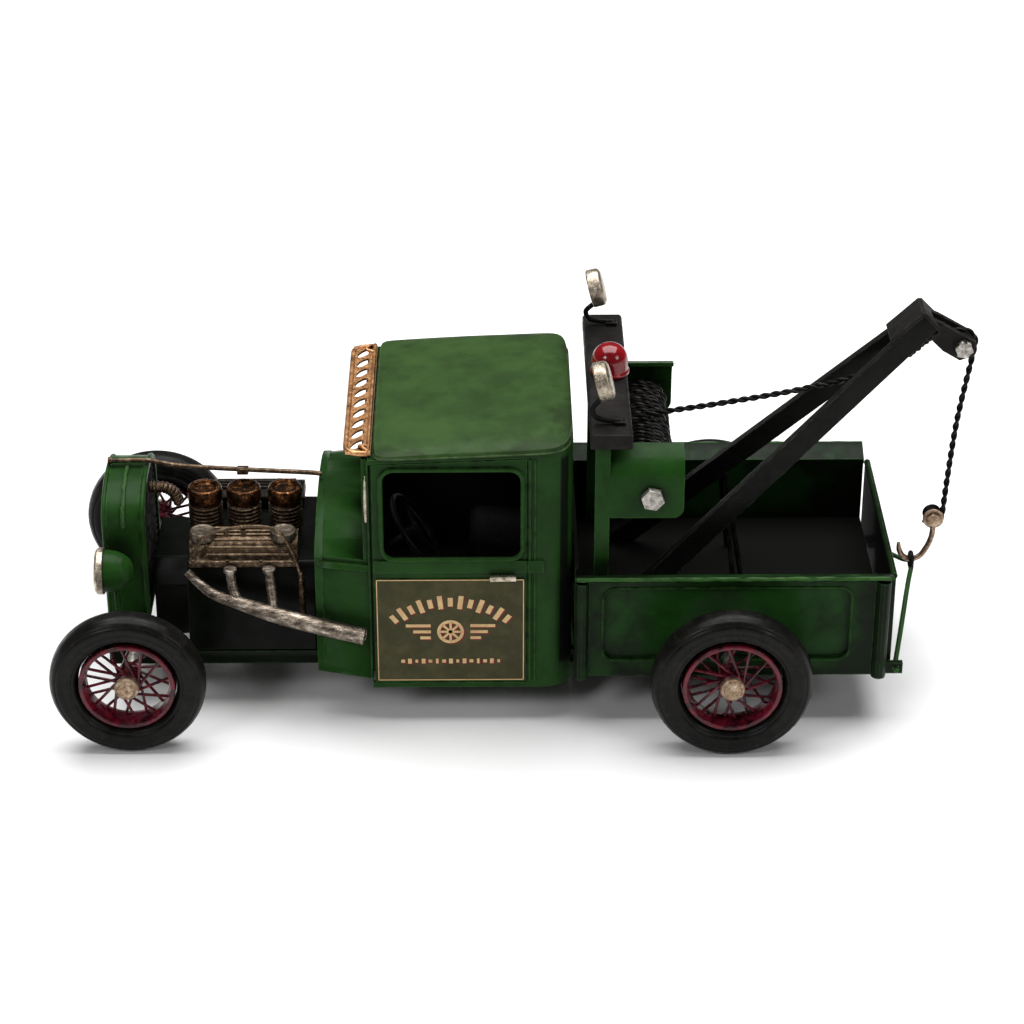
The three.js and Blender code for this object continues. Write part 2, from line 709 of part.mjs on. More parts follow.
function exhaust() {
  const route = [
    [83.2, 31, 54], [79.6, 31.8, 50.2], [74.5, 33.2, 46.6], [65, 35.6, 44],
    [50, 39.8, 41], [36, 43.4, 39], [22.3, 46.2, 37],
  ];
  const swell = (t) => 1.3 + 1.6 * Math.min(1, t / 0.5);
  let pipe = bar(route, swell, 8, 12);
  const tail = new THREE.Vector3(22.3, 46.2, 37);
  const back = new THREE.Vector3(34, 43.9, 38.7);
  const mouth = tail.clone().addScaledVector(back.clone().sub(tail), -0.1);
  pipe = pipe.subtract(rod(mouth.toArray(), back.toArray(), 2.1, 8));
  for (const [x, foot] of [[68.5, [66, 35, 44.4]], [55.2, [53.4, 38.6, 41.9]]]) {
    pipe = pipe.add(bar([[x, 31.2, 55.2], [x - 0.6, 33, 50], foot], 1.7, 6, 3));
  }
  return pipe;
}
pair('exhaust', exhaust(), 0x8d857b, 0.35, 0.9);

function fuelLine() {
  const loop = [
    [81, 29.9, 60], [77, 29.2, 66.5], [66, 28.6, 70], [52.5, 28.6, 69], [47, 30, 61], [44.2, 31.4, 52],
  ];
  const thin = bar(loop, 0.65, 5, 10);
  const thick = rod([44.2, 31.4, 52], [43.8, 33.4, 38.6], 1.1, 8);
  const collar = ring('x', 1.3, 0.7, [44.2, 31.4, 51.6], 8, 5);
  return joined(thin, thick, collar);
}
piece('fuel_line', fuelLine(), BRONZE, 0.4, 0.85);

// ---- Radiator and lamps -------------------------------------------------------------------

const RADIATOR = { rear: 98, front: 113, half: 21, low: 29.5, shoulder: 66, top: 78 };

/** Outline of the radiator shell, drawn in by a margin. */
function radiatorOutline(margin) {
  const half = RADIATOR.half - margin;
  const points = [[-half, RADIATOR.low + margin], [half, RADIATOR.low + margin], [half, RADIATOR.shoulder - margin * 0.5]];
  const steps = 10;
  for (let i = 1; i < steps; i += 1) {
    const a = (Math.PI * i) / steps;
    const up = RADIATOR.top - RADIATOR.shoulder - margin * 0.5;
    points.push([half * Math.cos(a), RADIATOR.shoulder - margin * 0.5 + up * Math.sin(a) ** 0.8]);
  }
  points.push([-half, RADIATOR.shoulder - margin * 0.5]);
  return points;
}

function radiatorShell() {
  const body = prismYZ(radiatorOutline(0), RADIATOR.rear, RADIATOR.front);
  const lip = prismYZ(radiatorOutline(-0.8), RADIATOR.rear, RADIATOR.rear + 1.6);
  const clearLip = block(90, 120, -30, 30, 0, RADIATOR.low);
  return body.add(lip.subtract(clearLip)).subtract(prismYZ(radiatorOutline(2), 90, 120));
}
piece('radiator_shell', radiatorShell(), GREEN, 0.32, 0.4);
piece('radiator_core', prismYZ(radiatorOutline(2 + GAP), RADIATOR.rear + 1, RADIATOR.rear + 8), BLACK, 0.7, 0.1);

function grille() {
  let body = prismYZ(radiatorOutline(2 + GAP), RADIATOR.front - 5, RADIATOR.front - 3.6);
  for (let i = -5; i <= 5; i += 1) {
    const y = i * 3.2;
    body = body.add(block(RADIATOR.front - 4, RADIATOR.front - 2.2, y - 0.6, y + 0.6, 34, 69 - Math.abs(i)));
  }
  return body;
}
piece('grille', grille(), 0x8a2c34, 0.45, 0.3);

function hose() {
  const radius = (t) => 1.85 + 0.3 * Math.cos(t * Math.PI * 16);
  return bar([[97.6, 6, 73.4], [93, 6, 73.6], [89.4, 5.4, 71.4], [87.3, 5, 66.8]], radius, 6, 16);
}
piece('radiator_hose', hose(), STEEL, 0.4, 0.8);

function stayRod() {
  const line = bar([
    [112, -1.4, 80.1], [98, -1.4, 80.1], [94, -1.3, 79.3], [88, -1.2, 78.2], [65, -1, 76.6], [41, -0.6, 75.4],
    [37.8, -0.4, 75.1],
  ], 0.85, 5, 12);
  const clip = block(63.4, 67.4, -2.6, 0.6, 75.2, 77.4);
  return line.add(clip);
}
piece('stay_rod', stayRod(), BRONZE, 0.4, 0.85);

function headlight() {
  const profile = [
    [0, 0], [2.6, 0.4], [5, 2.4], [6.6, 5.4], [7.4, 9.6], [8.1, 10], [8.1, 12.2], [7.3, 13], [6.6, 12], [0, 12.4],
  ];
  const shell = turned('x', profile, [101.6, 30, 54], 16);
  const bracket = block(107, 108.7, 28.4, 31.4, 30, 49);
  const foot = block(107, 111.4, 28.4, 31.4, 29.5, 31);
  return joined(shell, bracket, foot);
}
pair('headlight', headlight(), GREEN, 0.3, 0.5);

// ---- Bed ----------------------------------------------------------------------------------

function bedTray() {
  const floor = block(BED.rear, BED.front - 0.1, -BED.inner + GAP, BED.inner - GAP, BED.floor - 1.4, BED.floor);
  const head = block(BED.front - 1.5, BED.front - 0.1, -BED.inner + GAP, BED.inner - GAP, RAIL.high + GAP, 60.5);
  return floor.add(head);
}
piece('bed_tray', bedTray(), GREEN, 0.35, 0.4);

function bedSide() {
  let body = block(BED.rear, BED.front, BED.inner, BED.outer, BED.low, BED.rail);
  const panel = roundedRectangle(-143.5, -59.5, 26.6, 54.6, 4);
  body = body.subtract(pushedXZ(panel, BED.outer - 1.4, BED.outer + 5, 4));
  const flange = [[41.2, 56.2], [42.6, 56.2], [48.6, 59.6], [49.2, 61.2], [48.4, 61.2], [41.2, 58.0]];
  body = body.add(prismYZ(flange, BED.rear - 0.2, BED.front));
  for (const [x0, x1] of [[-54.4, BED.front], [BED.rear, -151.8]]) {
    const middle = (x0 + x1) / 2;
    const half = Math.abs(x1 - x0) / 2;
    const stake = new THREE.CylinderGeometry(1, 1, BED.rail - BED.low + 0.6, 12);
    stake.scale(half, 1, 2.9).rotateX(Math.PI / 2).translate(middle, BED.outer - 0.2, (BED.rail + BED.low) / 2);
    body = body.add(solid(stake));
  }
  body = body.add(block(EYE.x - 2.2, BED.rear + 1, 42.4, 44.4, 20, 24.2));
  body = body.subtract(cylinder('y', 1.2, 120, [EYE.x, 0, EYE.z], 10));
  return body.subtract(cylinder('y', AXLE_RADIUS + 2 * GAP, 120, [REAR.x, 0, REAR.radius], 14));
}
pair('bed_side', bedSide(), GREEN, 0.33, 0.4);

function tailgate() {
  const x0 = BED.rear - 0.5;
  let body = block(x0 - 1.5, x0, -41, 41, 19.5, 57);
  body = body.add(cylinder('y', 1.2, 82, [x0 - 0.8, 0, 57], 8));
  return body;
}
piece('tailgate', tailgate(), GREEN, 0.33, 0.4);

// ---- Winch and light bar ------------------------------------------------------------------

function winchFrame() {
  const out = PLATE.outer;
  const t = PLATE.thick;
  const sheet = [
    [out, PLATE.low], [out, 95], [out - 1.6, 98.6], [out - 5, 101.4], [out - 10, 103], [out - 10, 103 - t],
    [out - 5.6, 101.4 - t], [out - 2.8, 97.6], [out - t, 94.6], [out - t, PLATE.low],
  ];
  let body = prismYZ(sheet, PLATE.rear, PLATE.front);
  const outer = roundedRectangle(PLATE.rear, PLATE.front, PLATE.low - 0.2, 120, 4);
  body = body.intersect(pushedXZ(outer, 0, 60, 4));
  body = body.add(block(-61, -56, out - 3, out - 0.1, BED.floor + GAP, BAR.low - GAP));
  return body.subtract(cylinder('y', AXLE_RADIUS + GAP, 90, [DRUM.x, 0, DRUM.z], 14));
}
pair('winch_frame', winchFrame(), GREEN, 0.33, 0.4);

function winchDrum() {
  const bore = AXLE_RADIUS + GAP;
  const profile = [[bore, -DRUM.left - 2.4], [6.2, -DRUM.left - 2.4], [6.2, -DRUM.left]];
  const turns = 11;
  for (let i = 0; i < turns; i += 1) {
    const y = -DRUM.left + (2 * DRUM.left * (i + 0.5)) / turns;
    profile.push([DRUM.coil, y]);
    if (i < turns - 1) profile.push([DRUM.coil - 0.9, y + DRUM.left / turns]);
  }
  profile.push([6.2, DRUM.left], [6.2, DRUM.left + 2.4], [bore, DRUM.left + 2.4]);
  return turned('y', profile, [DRUM.x, 0, DRUM.z], 14);
}
piece('winch_drum', winchDrum(), BLACK, 0.5, 0.4);

function winchBolt() {
  const y0 = PLATE.outer + GAP;
  let body = cylinder('y', AXLE_RADIUS, 2 * (y0 + 2.6), [DRUM.x, 0, DRUM.z], 12);
  for (const side of [-1, 1]) {
    body = body.add(nut(7, side * y0, side * (y0 + 2.9), DRUM.x, DRUM.z));
  }
  return body;
}
piece('winch_bolt', winchBolt(), STEEL, 0.35, 0.9);

function lightBar() {
  const bevel = 0.8;
  const points = [
    [BAR.rear, BAR.low], [BAR.front, BAR.low], [BAR.front, BAR.high - bevel],
    [BAR.front - bevel, BAR.high], [BAR.rear + bevel, BAR.high], [BAR.rear, BAR.high - bevel],
  ];
  return prismXZ(points, -BAR.half, BAR.half);
}
piece('light_bar', lightBar(), BLACK, 0.45, 0.4);

function beacon() {
  const z0 = BAR.high + GAP;
  const outline = [
    [0, 0], [6.7, 0], [6.7, 1.1], [6.2, 1.5], [6.2, 4.8], [5.7, 7], [4.5, 9], [2.5, 10.3], [0, 10.8],
  ];
  return turned('z', outline.map(([r, h]) => [r, z0 + h]), [-62, 0, 0], 16);
}
piece('beacon', beacon(), 0xa01018, 0.15, 0);

/** Drum-shaped lamp that looks forward and a little down, on a wire hooked round from the bar. */
function spotLamp() {
  const lean = 0.26;
  const centre = [-58.5, 36.5, 129.4];
  const foot = BAR.high + GAP;
  const profile = [[0, -2.8], [5.2, -2.6], [6.4, -1.9], [6.7, -0.9], [6.7, 2.2], [6.2, 2.6], [5.7, 1.8], [0, 1.8]];
  const closed = [...profile, profile[0]].map(([r, h]) => new THREE.Vector2(r, h));
  const disc = new THREE.LatheGeometry(closed, 16);
  disc.rotateZ(-Math.PI / 2).rotateY(lean).translate(...centre);
  const stalk = bar([
    [-64.5, 38, foot + 0.9], [-59.5, 38, foot + 1.1], [-56, 37.9, foot + 2.2], [-54.9, 37.6, foot + 5],
    [-56.6, 37, foot + 7.4], [-59.4, 36.6, foot + 9.6],
  ], 0.9, 5, 9);
  return joined(solid(disc), stalk, block(-66, -62, 36.4, 39.6, foot, foot + 1));
}
pair('spot_lamp', spotLamp(), STEEL, 0.35, 0.85);

// ---- Boom, rope and hook ------------------------------------------------------------------

/** Point on the boom beam's centre line at a height. */
function boomAt(z) {
  const t = (z - BOOM_FOOT.z) / (BOOM_TIP.z - BOOM_FOOT.z);
  return BOOM_FOOT.clone().lerp(BOOM_TIP, t);
}

function boomBeam() {
  const deep = BOOM_DEEP;
  const wide = 3.2;
  const line = BOOM_TIP.clone().sub(BOOM_FOOT);
  const along = line.clone().normalize();
  const across = new THREE.Vector3(0, 1, 0);
  across.addScaledVector(along, -across.dot(along)).normalize();
  const up = new THREE.Vector3().crossVectors(along, across);
  const beam = new THREE.BoxGeometry(line.length() + BOOM_PAST_FOOT + BOOM_PAST_TIP, wide, deep);
  const middle = BOOM_FOOT.clone().lerp(BOOM_TIP, 0.5);
  middle.addScaledVector(along, (BOOM_PAST_TIP - BOOM_PAST_FOOT) / 2);
  beam.applyMatrix4(new THREE.Matrix4().makeBasis(along, across, up)).translate(...middle);
  let body = solid(beam).subtract(block(-200, 0, -60, 60, -40, BED.floor + GAP));
  const grip = boomAt(70);
  for (const shift of [-1.9, 1.9]) {
    const foot = [-108 + shift * 0.9, 18 + shift, BED.floor + GAP + 0.05];
    const head = [grip.x + shift * 0.4, grip.y + shift * 0.3, grip.z - 1];
    body = body.add(rod(foot, head, 0.9, 8));
  }
  return body.subtract(block(-200, 0, -60, 60, -40, BED.floor + GAP));
}
pair('boom', boomBeam(), BLACK, 0.4, 0.4);

/** Bent cap over the ends of both beams, with two cheeks that carry the tip sheave. */
function boomHead() {
  const run = Math.hypot(BOOM_TIP.x - BOOM_FOOT.x, BOOM_TIP.z - BOOM_FOOT.z);
  const back = (BOOM_TIP.x - BOOM_FOOT.x) / run;
  const rise = (BOOM_TIP.z - BOOM_FOOT.z) / run;
  const at = (along, above) => [
    BOOM_TIP.x + back * along + rise * above, BOOM_TIP.z + rise * along - back * above,
  ];
  const sole = BOOM_DEEP / 2 + GAP;
  const wall = 1.3;
  const end = 18;
  const shell = [
    at(4, sole), at(4, sole + wall), at(end + 0.3, sole + wall), at(end + wall, sole + 0.3),
    at(end + wall, -sole), at(end, -sole), at(end, sole),
  ];
  const cheeks = [
    at(end + 0.4, 2), [-174.6, 134.2], [-186.2, 127.4], [-185.6, 122.2], [-181, 120.6],
    [-175, 124.2], [-171.2, 128], at(end + 0.4, -sole),
  ];
  let body = prismXZ(shell, -6.4, 6.4).add(prismXZ(cheeks, -4.6, 4.6));
  body = body.subtract(block(-190, -165.6, -2.5, 2.5, 110, 136));
  body = body.add(cylinder('y', 1.5, 12.4, [SHEAVE.x, 0, SHEAVE.z], 12));
  body = body.add(nut(5.5, 4.5, 6.6, SHEAVE.x, SHEAVE.z));
  return body.add(nut(5.5, -6.6, -4.5, SHEAVE.x, SHEAVE.z));
}
piece('boom_head', boomHead(), BLACK, 0.4, 0.4);

/** Grooved sheave about Y with a bore. */
function sheave({ x, z, radius, root }, bore, half) {
  const profile = [[bore, -half], [radius, -half], [root, -half * 0.45], [root, half * 0.45], [radius, half], [bore, half]];
  return turned('y', profile, [x, 0, z], 14);
}
piece('tip_sheave', sheave(SHEAVE, 1.8, 2.1), BLACK, 0.4, 0.5);
piece('block_sheave', sheave(BLOCK, 1.5, 1.9), BLACK, 0.4, 0.5);

/** Points on an arc about a sheave, by angle from +X towards +Z. */
function arc({ x, z }, radius, from, to, steps) {
  const points = [];
  for (let i = 0; i <= steps; i += 1) {
    const a = from + ((to - from) * i) / steps;
    points.push([x + radius * Math.cos(a), 0, z + radius * Math.sin(a)]);
  }
  return points;
}

function winchRope() {
  const overTip = SHEAVE.root + GAP + ROPE_RADIUS;
  const overBlock = BLOCK.root + GAP + ROPE_RADIUS;
  const overDrum = DRUM.coil + GAP + ROPE_RADIUS;
  const route = [
    ...arc(DRUM, overDrum, 1.0, 1.35, 1),
    [-100, 0, 102.2],
    [-128, 0, 107.6],
    [-146, 0, 112.6],
    [-160, 0, 121.2],
    [-171.5, 0, 128],
    ...arc(SHEAVE, overTip, 1.75, 3.27, 5),
    [-182.4, 0, 94],
    ...arc(BLOCK, overBlock, 2.95, 5.6, 6),
  ];
  return bar(route, ROPE_RADIUS, 6, 60);
}
piece('winch_rope', winchRope(), BLACK, 0.6, 0.3);

function hook() {
  const pin = cylinder('y', 1.2, 7.6, [BLOCK.x, 0.7, BLOCK.z], 10);
  const washer = cylinder('y', 3.7, 0.9, [BLOCK.x, 2.75, BLOCK.z], 16);
  const cap = nut(4.6, 3.1, 4.9, BLOCK.x, BLOCK.z);
  const back = cylinder('y', 2.2, 0.8, [BLOCK.x, -2.6, BLOCK.z], 12);
  const wire = bar([
    [BLOCK.x, 2.75, BLOCK.z - 1], [-176.6, 2.9, 52.4], [-176.2, 1.6, 48.4], [-175.2, 0.3, 44.6], [-173.2, 0, 41.2],
    [-170.2, 0, 39.9], [-167.2, 0, 41.2], [-165.8, 0, 43.8], [-165.4, 0, 46.6],
  ], (t) => (t > 0.95 ? 0.75 : 1.0), 6, 18);
  return joined(pin, washer, cap, back, wire);
}
piece('hook', hook(), BRONZE, 0.4, 0.85);

function towFrame() {
  const apex = [-170.2, 0, 39.9 - 0.5];
  let body = ring('x', 2.7, 0.85, apex, 14, 6);
  for (const side of [-1, 1]) {
    const leg = bar([
      [apex[0], side * 2.4, apex[2] - 1.4], [-168.6, side * 8, 35.2], [-164.4, side * 26, 28.2],
      [EYE.x, side * 41.4, EYE.z],
    ], 0.9, 6, 12);
    const pivot = rod([EYE.x, side * 40.9, EYE.z], [EYE.x, side * 45.8, EYE.z], 0.9, 8);
    body = joined(body, leg, pivot);
  }
  return body;
}
piece('tow_frame', towFrame(), 0x2c6b2c, 0.4, 0.4);

// ---- Origin at the bottom centre of the bounding box ---------------------------------------

const bounds = new THREE.Box3().setFromObject(group);
for (const mesh of group.children) {
  const shift = [-(bounds.min.x + bounds.max.x) / 2, -(bounds.min.y + bounds.max.y) / 2, -bounds.min.z];
  mesh.geometry.translate(...shift);
}

export default group;
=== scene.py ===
"""Looks of a hand-made sheet-metal toy tow truck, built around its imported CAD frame.

Lengths here are millimetres, measured from the middle of the wheelbase on the ground:
+X to the front, +Y to the left side, +Z up. place() turns them into the frame's metres.
"""

import math

import bmesh
import bpy
from mathutils import Matrix, Quaternion, Vector, noise


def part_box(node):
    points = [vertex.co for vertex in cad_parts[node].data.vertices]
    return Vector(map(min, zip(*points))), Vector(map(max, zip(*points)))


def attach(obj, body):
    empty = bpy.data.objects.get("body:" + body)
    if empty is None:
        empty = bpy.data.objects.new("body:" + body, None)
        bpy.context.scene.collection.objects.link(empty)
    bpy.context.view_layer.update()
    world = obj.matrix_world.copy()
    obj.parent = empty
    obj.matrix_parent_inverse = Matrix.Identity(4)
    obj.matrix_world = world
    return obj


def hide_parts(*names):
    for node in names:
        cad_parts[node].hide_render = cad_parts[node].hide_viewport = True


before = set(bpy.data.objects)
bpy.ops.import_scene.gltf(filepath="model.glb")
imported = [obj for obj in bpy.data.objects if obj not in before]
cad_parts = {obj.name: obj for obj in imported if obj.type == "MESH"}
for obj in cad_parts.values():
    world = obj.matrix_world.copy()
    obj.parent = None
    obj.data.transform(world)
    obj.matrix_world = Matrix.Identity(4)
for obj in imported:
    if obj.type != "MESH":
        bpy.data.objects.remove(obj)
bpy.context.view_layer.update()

MM = 0.001
HALF_WHEELBASE = 102.5

AXLE_LOW, AXLE_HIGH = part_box("front_axle")
SHIFT = Vector(((AXLE_LOW.x + AXLE_HIGH.x) / 2 - HALF_WHEELBASE * MM, 0, 0))


def place(point):
    """A point in millimetres from the middle of the wheelbase, in the frame's metres."""
    return Vector(point) * MM + SHIFT


# Driving sizes, the same as the CAD's. GAP is the clearance between neighbouring solids.
GAP = 0.3
FRONT = {"x": HALF_WHEELBASE, "radius": 26.6, "plane": 57.4}
REAR = {"x": -HALF_WHEELBASE, "radius": 27.5, "plane": 61.2}
DRUM = {"x": -75.3, "z": 87.7, "coil": 8.7, "reach": 33.6}
SHEAVE = {"x": -182.0, "z": 125.3, "radius": 4.3, "root": 3.2}
BLOCK = {"x": -176.6, "z": 57.8, "radius": 3.3, "root": 2.1}
BAR = {"front": -54.0, "rear": -68.0, "half": 46.5, "low": 109.0, "high": 114.3}
CAB = {"front": 19.9, "half": 43.0, "top": 103.5, "slope": 0.04}
WINDOW = {"front": 15.4, "rear": -31.3, "low": 65.8, "high": 99.6, "corner": 4.0}
SIGN = {"front": 18.2, "rear": -32.4, "low": 17.4, "high": 58.0, "proud": 0.55}
ENGINE_TOP = 53.7
STACK_TOP = 73.0
ROPE_RADIUS = 1.1
EYE = {"x": -160.7, "z": 21.8}
APEX = {"x": -170.2, "z": 39.4}
DOORS = ("left_door", "right_door")


# ---- Materials ----------------------------------------------------------------------------


class Paint:
    """A node material: every colour is mixed from noise in the object's own space."""

    def __init__(self, name):
        self.material = bpy.data.materials.new(name)
        self.material.use_nodes = True
        self.tree = self.material.node_tree
        self.tree.nodes.clear()
        self.shader = self.node("BsdfPrincipled", {})
        self.node("OutputMaterial", {0: self.shader.outputs[0]})
        where = self.node("TexCoord", {}).outputs["Object"]
        self.millimetres = self.vector("MULTIPLY", where, (1 / MM,) * 3)

    def set(self, **values):
        """Constant values go straight onto the shader's sockets."""
        for key, value in values.items():
            words = key.replace("_", " ").title().replace("Ior", "IOR")
            self.shader.inputs[words].default_value = value

    def plug(self, socket, name):
        self.tree.links.new(socket, self.shader.inputs[name])

    def feed(self, node, index, value):
        if isinstance(value, bpy.types.NodeSocket):
            self.tree.links.new(value, node.inputs[index])
        else:
            node.inputs[index].default_value = value

    def node(self, kind, inputs, **settings):
        """A new node with its settings made and its inputs linked or filled in."""
        node = self.tree.nodes.new("ShaderNode" + kind)
        for key, value in settings.items():
            setattr(node, key, value)
        for key, value in inputs.items():
            self.feed(node, key, value)
        return node

    def vector(self, operation, a, b):
        return self.node("VectorMath", {0: a, 1: b}, operation=operation).outputs["Vector"]

    def math(self, operation, a, b=0.0):
        return self.node("Math", {0: a, 1: b}, operation=operation).outputs[0]

    def noise(self, size, detail=3.0, rough=0.55, stretch=(1, 1, 1), distortion=0.0):
        """Noise whose blobs are about size millimetres across, drawn out along the stretched axes."""
        scaled = self.vector("DIVIDE", self.millimetres, tuple(size * s for s in stretch))
        shape = {"Scale": 1.0, "Detail": detail, "Roughness": rough, "Distortion": distortion}
        return self.node("TexNoise", {"Vector": scaled, **shape}).outputs[0]

    def remap(self, value, low, high, to_low=0.0, to_high=1.0):
        inputs = dict(enumerate((value, low, high, to_low, to_high)))
        return self.node("MapRange", inputs, interpolation_type="SMOOTHSTEP").outputs[0]

    def patches(self, size, detail, low, high, *ends):
        """Noise patches, remapped from low and high to 0 and 1 or to the ends given."""
        return self.remap(self.noise(size, detail), low, high, *ends)

    def mix(self, factor, a, b):
        return self.node("Mix", {0: factor, 6: a, 7: b}, data_type="RGBA").outputs[2]

    def over(self, colour, factor, weight, shade):
        """The colour with a shade laid over it, as strongly as a factor times a weight."""
        return self.mix(self.math("MULTIPLY", factor, weight), colour, rgb(*shade))

    def recess(self, distance):
        """1 in corners and hollows, 0 on open surfaces."""
        node = self.node("AmbientOcclusion", {"Distance": distance * MM}, samples=6)
        return self.math("SUBTRACT", 1.0, node.outputs["AO"])

    def edge(self, radius):
        """1 along sharp outer and inner edges."""
        softened = self.node("Bevel", {"Radius": radius * MM}, samples=4).outputs[0]
        plain = self.node("NewGeometry", {}).outputs["Normal"]
        dot = self.node("VectorMath", {0: softened, 1: plain}, operation="DOT_PRODUCT")
        return self.remap(dot.outputs["Value"], 0.995, 0.86)

    def axis(self, name):
        return self.node("SeparateXYZ", {0: self.millimetres}).outputs[name]

    def off_centre(self, name, middle, half):
        """0 in the middle of a stretch along one axis, 1 at its two ends."""
        offset = self.math("SUBTRACT", self.axis(name), middle)
        return self.math("ABSOLUTE", self.math("DIVIDE", offset, half))

    def bump(self, height, distance, strength):
        inputs = {"Strength": strength, "Distance": distance * MM, "Height": height}
        self.plug(self.node("Bump", inputs).outputs[0], "Normal")

    def finish(self, colour, rough, grain, depth, strength, **values):
        """Plugs in a colour, rough patches (size, detail, low, high) and a bump of fine grain."""
        size, detail, low, high = rough
        self.plug(colour, "Base Color")
        self.plug(self.patches(size, detail, 0.3, 0.7, low, high), "Roughness")
        self.set(**values)
        self.bump(self.noise(*grain), depth, strength)
        return self.material


def rgb(red, green, blue):
    """Linear colour from eight-bit display values."""
    def linear(c):
        return c / 255 / 12.92 if c <= 10 else ((c / 255 + 0.055) / 1.055) ** 2.4

    return (linear(red), linear(green), linear(blue), 1.0)


def enamel(name, body, highlight_colour, shade_weight=0.75, vignette=None, gloss=0.3, inside=()):
    """Brushed green enamel, with painted shade near-black in the corners, towards given edges and inside, and
    a painted highlight along raised edges.
    """
    paint = Paint(name)
    cloud = paint.noise(17, 4, 0.6)
    tone = paint.remap(cloud, 0.3, 0.72)
    colour = paint.mix(tone, rgb(*[c * 0.86 for c in body]), rgb(*[c * 1.1 for c in body]))
    # Painted shade: darker in hollows and corners by an occlusion mask, streaked by noise.
    streak = paint.noise(5, 5, 0.62, stretch=(1, 1, 4.5), distortion=0.4)
    hollow = paint.math("MULTIPLY", paint.recess(7.5), paint.remap(streak, 0.2, 0.62, 0.65, 1.5))
    dark = paint.remap(hollow, 0.06, 0.62)
    # Painted shade towards the given edges of a panel or the roof.
    if vignette:
        first, second, start, depth = vignette
        rim = paint.math("MAXIMUM", paint.off_centre(*first), paint.off_centre(*second))
        ragged = paint.math("ADD", rim, paint.remap(paint.noise(13, 4, 0.6), 0.25, 0.75, -0.22, 0.22))
        dark = paint.math("MAXIMUM", dark, paint.remap(ragged, start, 1.02, 0.0, depth))
    colour = paint.over(colour, dark, shade_weight, (11, 13, 9))
    # Painted highlight: lighter green along raised edges, in patches.
    edge_highlight = paint.math("MULTIPLY", paint.edge(0.7), paint.patches(4, 4, 0.35, 0.6))
    colour = paint.over(colour, edge_highlight, 0.85, highlight_colour)
    fleck = paint.remap(paint.noise(1.3, 2, 0.5), 0.705, 0.745)
    colour = paint.over(colour, fleck, 0.25, (16, 18, 12))
    roughness = paint.patches(6, 4, 0.3, 0.75, gloss, gloss + 0.2)
    # Painted shade: the insides of the cab, doors and bed are painted near-black.
    for x_range, half, z_range in inside:
        mask = paint.remap(paint.math("ABSOLUTE", paint.axis("Y")), half, half - 0.3)
        for letter, (low, high) in (("X", x_range), ("Z", z_range)):
            for end, inner in ((low, low + 0.5), (high, high - 3)):
                mask = paint.math("MULTIPLY", mask, paint.remap(paint.axis(letter), end, inner))
        colour = paint.over(colour, mask, 0.93, (6, 7, 5))
        roughness = paint.math("MAXIMUM", roughness, paint.math("MULTIPLY", mask, 0.75))
    paint.plug(colour, "Base Color")
    paint.plug(roughness, "Roughness")
    paint.set(metallic=0.0, specular_ior_level=0.07, coat_weight=0.025, coat_roughness=0.1, coat_ior=1.4)
    brushed = paint.math("MULTIPLY", paint.noise(1.1, 3), 0.12)
    paint.bump(paint.math("ADD", paint.noise(9, 3, 0.5), brushed), 0.5, 0.35)
    return paint.material


def black_enamel(name, tone=(20, 20, 20), grain=1.6, depth=0.12, gloss=0.36, edge_highlight_tone=(74, 70, 62)):
    """Black paint over sheet or wire, painted a little grey along its edges as a highlight."""
    paint = Paint(name)
    colour = paint.mix(paint.patches(9, 4, 0.3, 0.7), rgb(*[c * 0.6 for c in tone]), rgb(*tone))
    # Painted highlight: grey along the edges.
    edge_highlight = paint.math("MULTIPLY", paint.edge(0.5), paint.patches(3, 4, 0.42, 0.62))
    colour = paint.over(colour, edge_highlight, 0.6, edge_highlight_tone)
    rough = (4, 4, gloss, gloss + 0.22)
    return paint.finish(colour, rough, (grain, 3, 0.6), depth, 0.8, specular_ior_level=0.11)


def worn_metal(
        name, dark, mid, light, patch, stretch=(1, 1, 1), rough=(0.28, 0.6), metallic=0.9, bump=0.12):
    """Bare or plated metal, with painted shade in its hollows and a painted highlight along its edges."""
    paint = Paint(name)
    cloud = paint.noise(patch, 5, 0.65, stretch)
    fine = paint.noise(patch * 0.22, 4, 0.7, stretch)
    blend = paint.math("ADD", paint.math("MULTIPLY", cloud, 0.7), paint.math("MULTIPLY", fine, 0.3))
    colour = paint.mix(paint.remap(blend, 0.34, 0.55), rgb(*dark), rgb(*mid))
    colour = paint.mix(paint.remap(blend, 0.5, 0.7), colour, rgb(*light))
    # Painted highlight along the edges.
    colour = paint.over(colour, paint.edge(0.35), 0.7, light)
    # Painted shade in the hollows, from an occlusion mask.
    hollow_shade = paint.remap(paint.recess(2.6), 0.12, 0.75)
    colour = paint.over(colour, hollow_shade, 0.85, [c * 0.28 for c in dark])
    paint.plug(colour, "Base Color")
    paint.plug(paint.remap(fine, 0.3, 0.7, rough[0], rough[1]), "Roughness")
    paint.set(metallic=metallic)
    paint.bump(paint.noise(0.8, 4, 0.7, stretch), bump, 0.9)
    return paint.material


def rubber():
    """Nearly black rubber with a little brown dust."""
    paint = Paint("tyre_rubber")
    colour = paint.mix(paint.patches(7, 4, 0.35, 0.7), rgb(10, 10, 9), rgb(20, 19, 17))
    colour = paint.over(colour, paint.patches(2.2, 5, 0.52, 0.75), 0.35, (44, 42, 37))
    return paint.finish(colour, (3, 4, 0.26, 0.42), (0.7, 3), 0.05, 0.6, specular_ior_level=0.11)


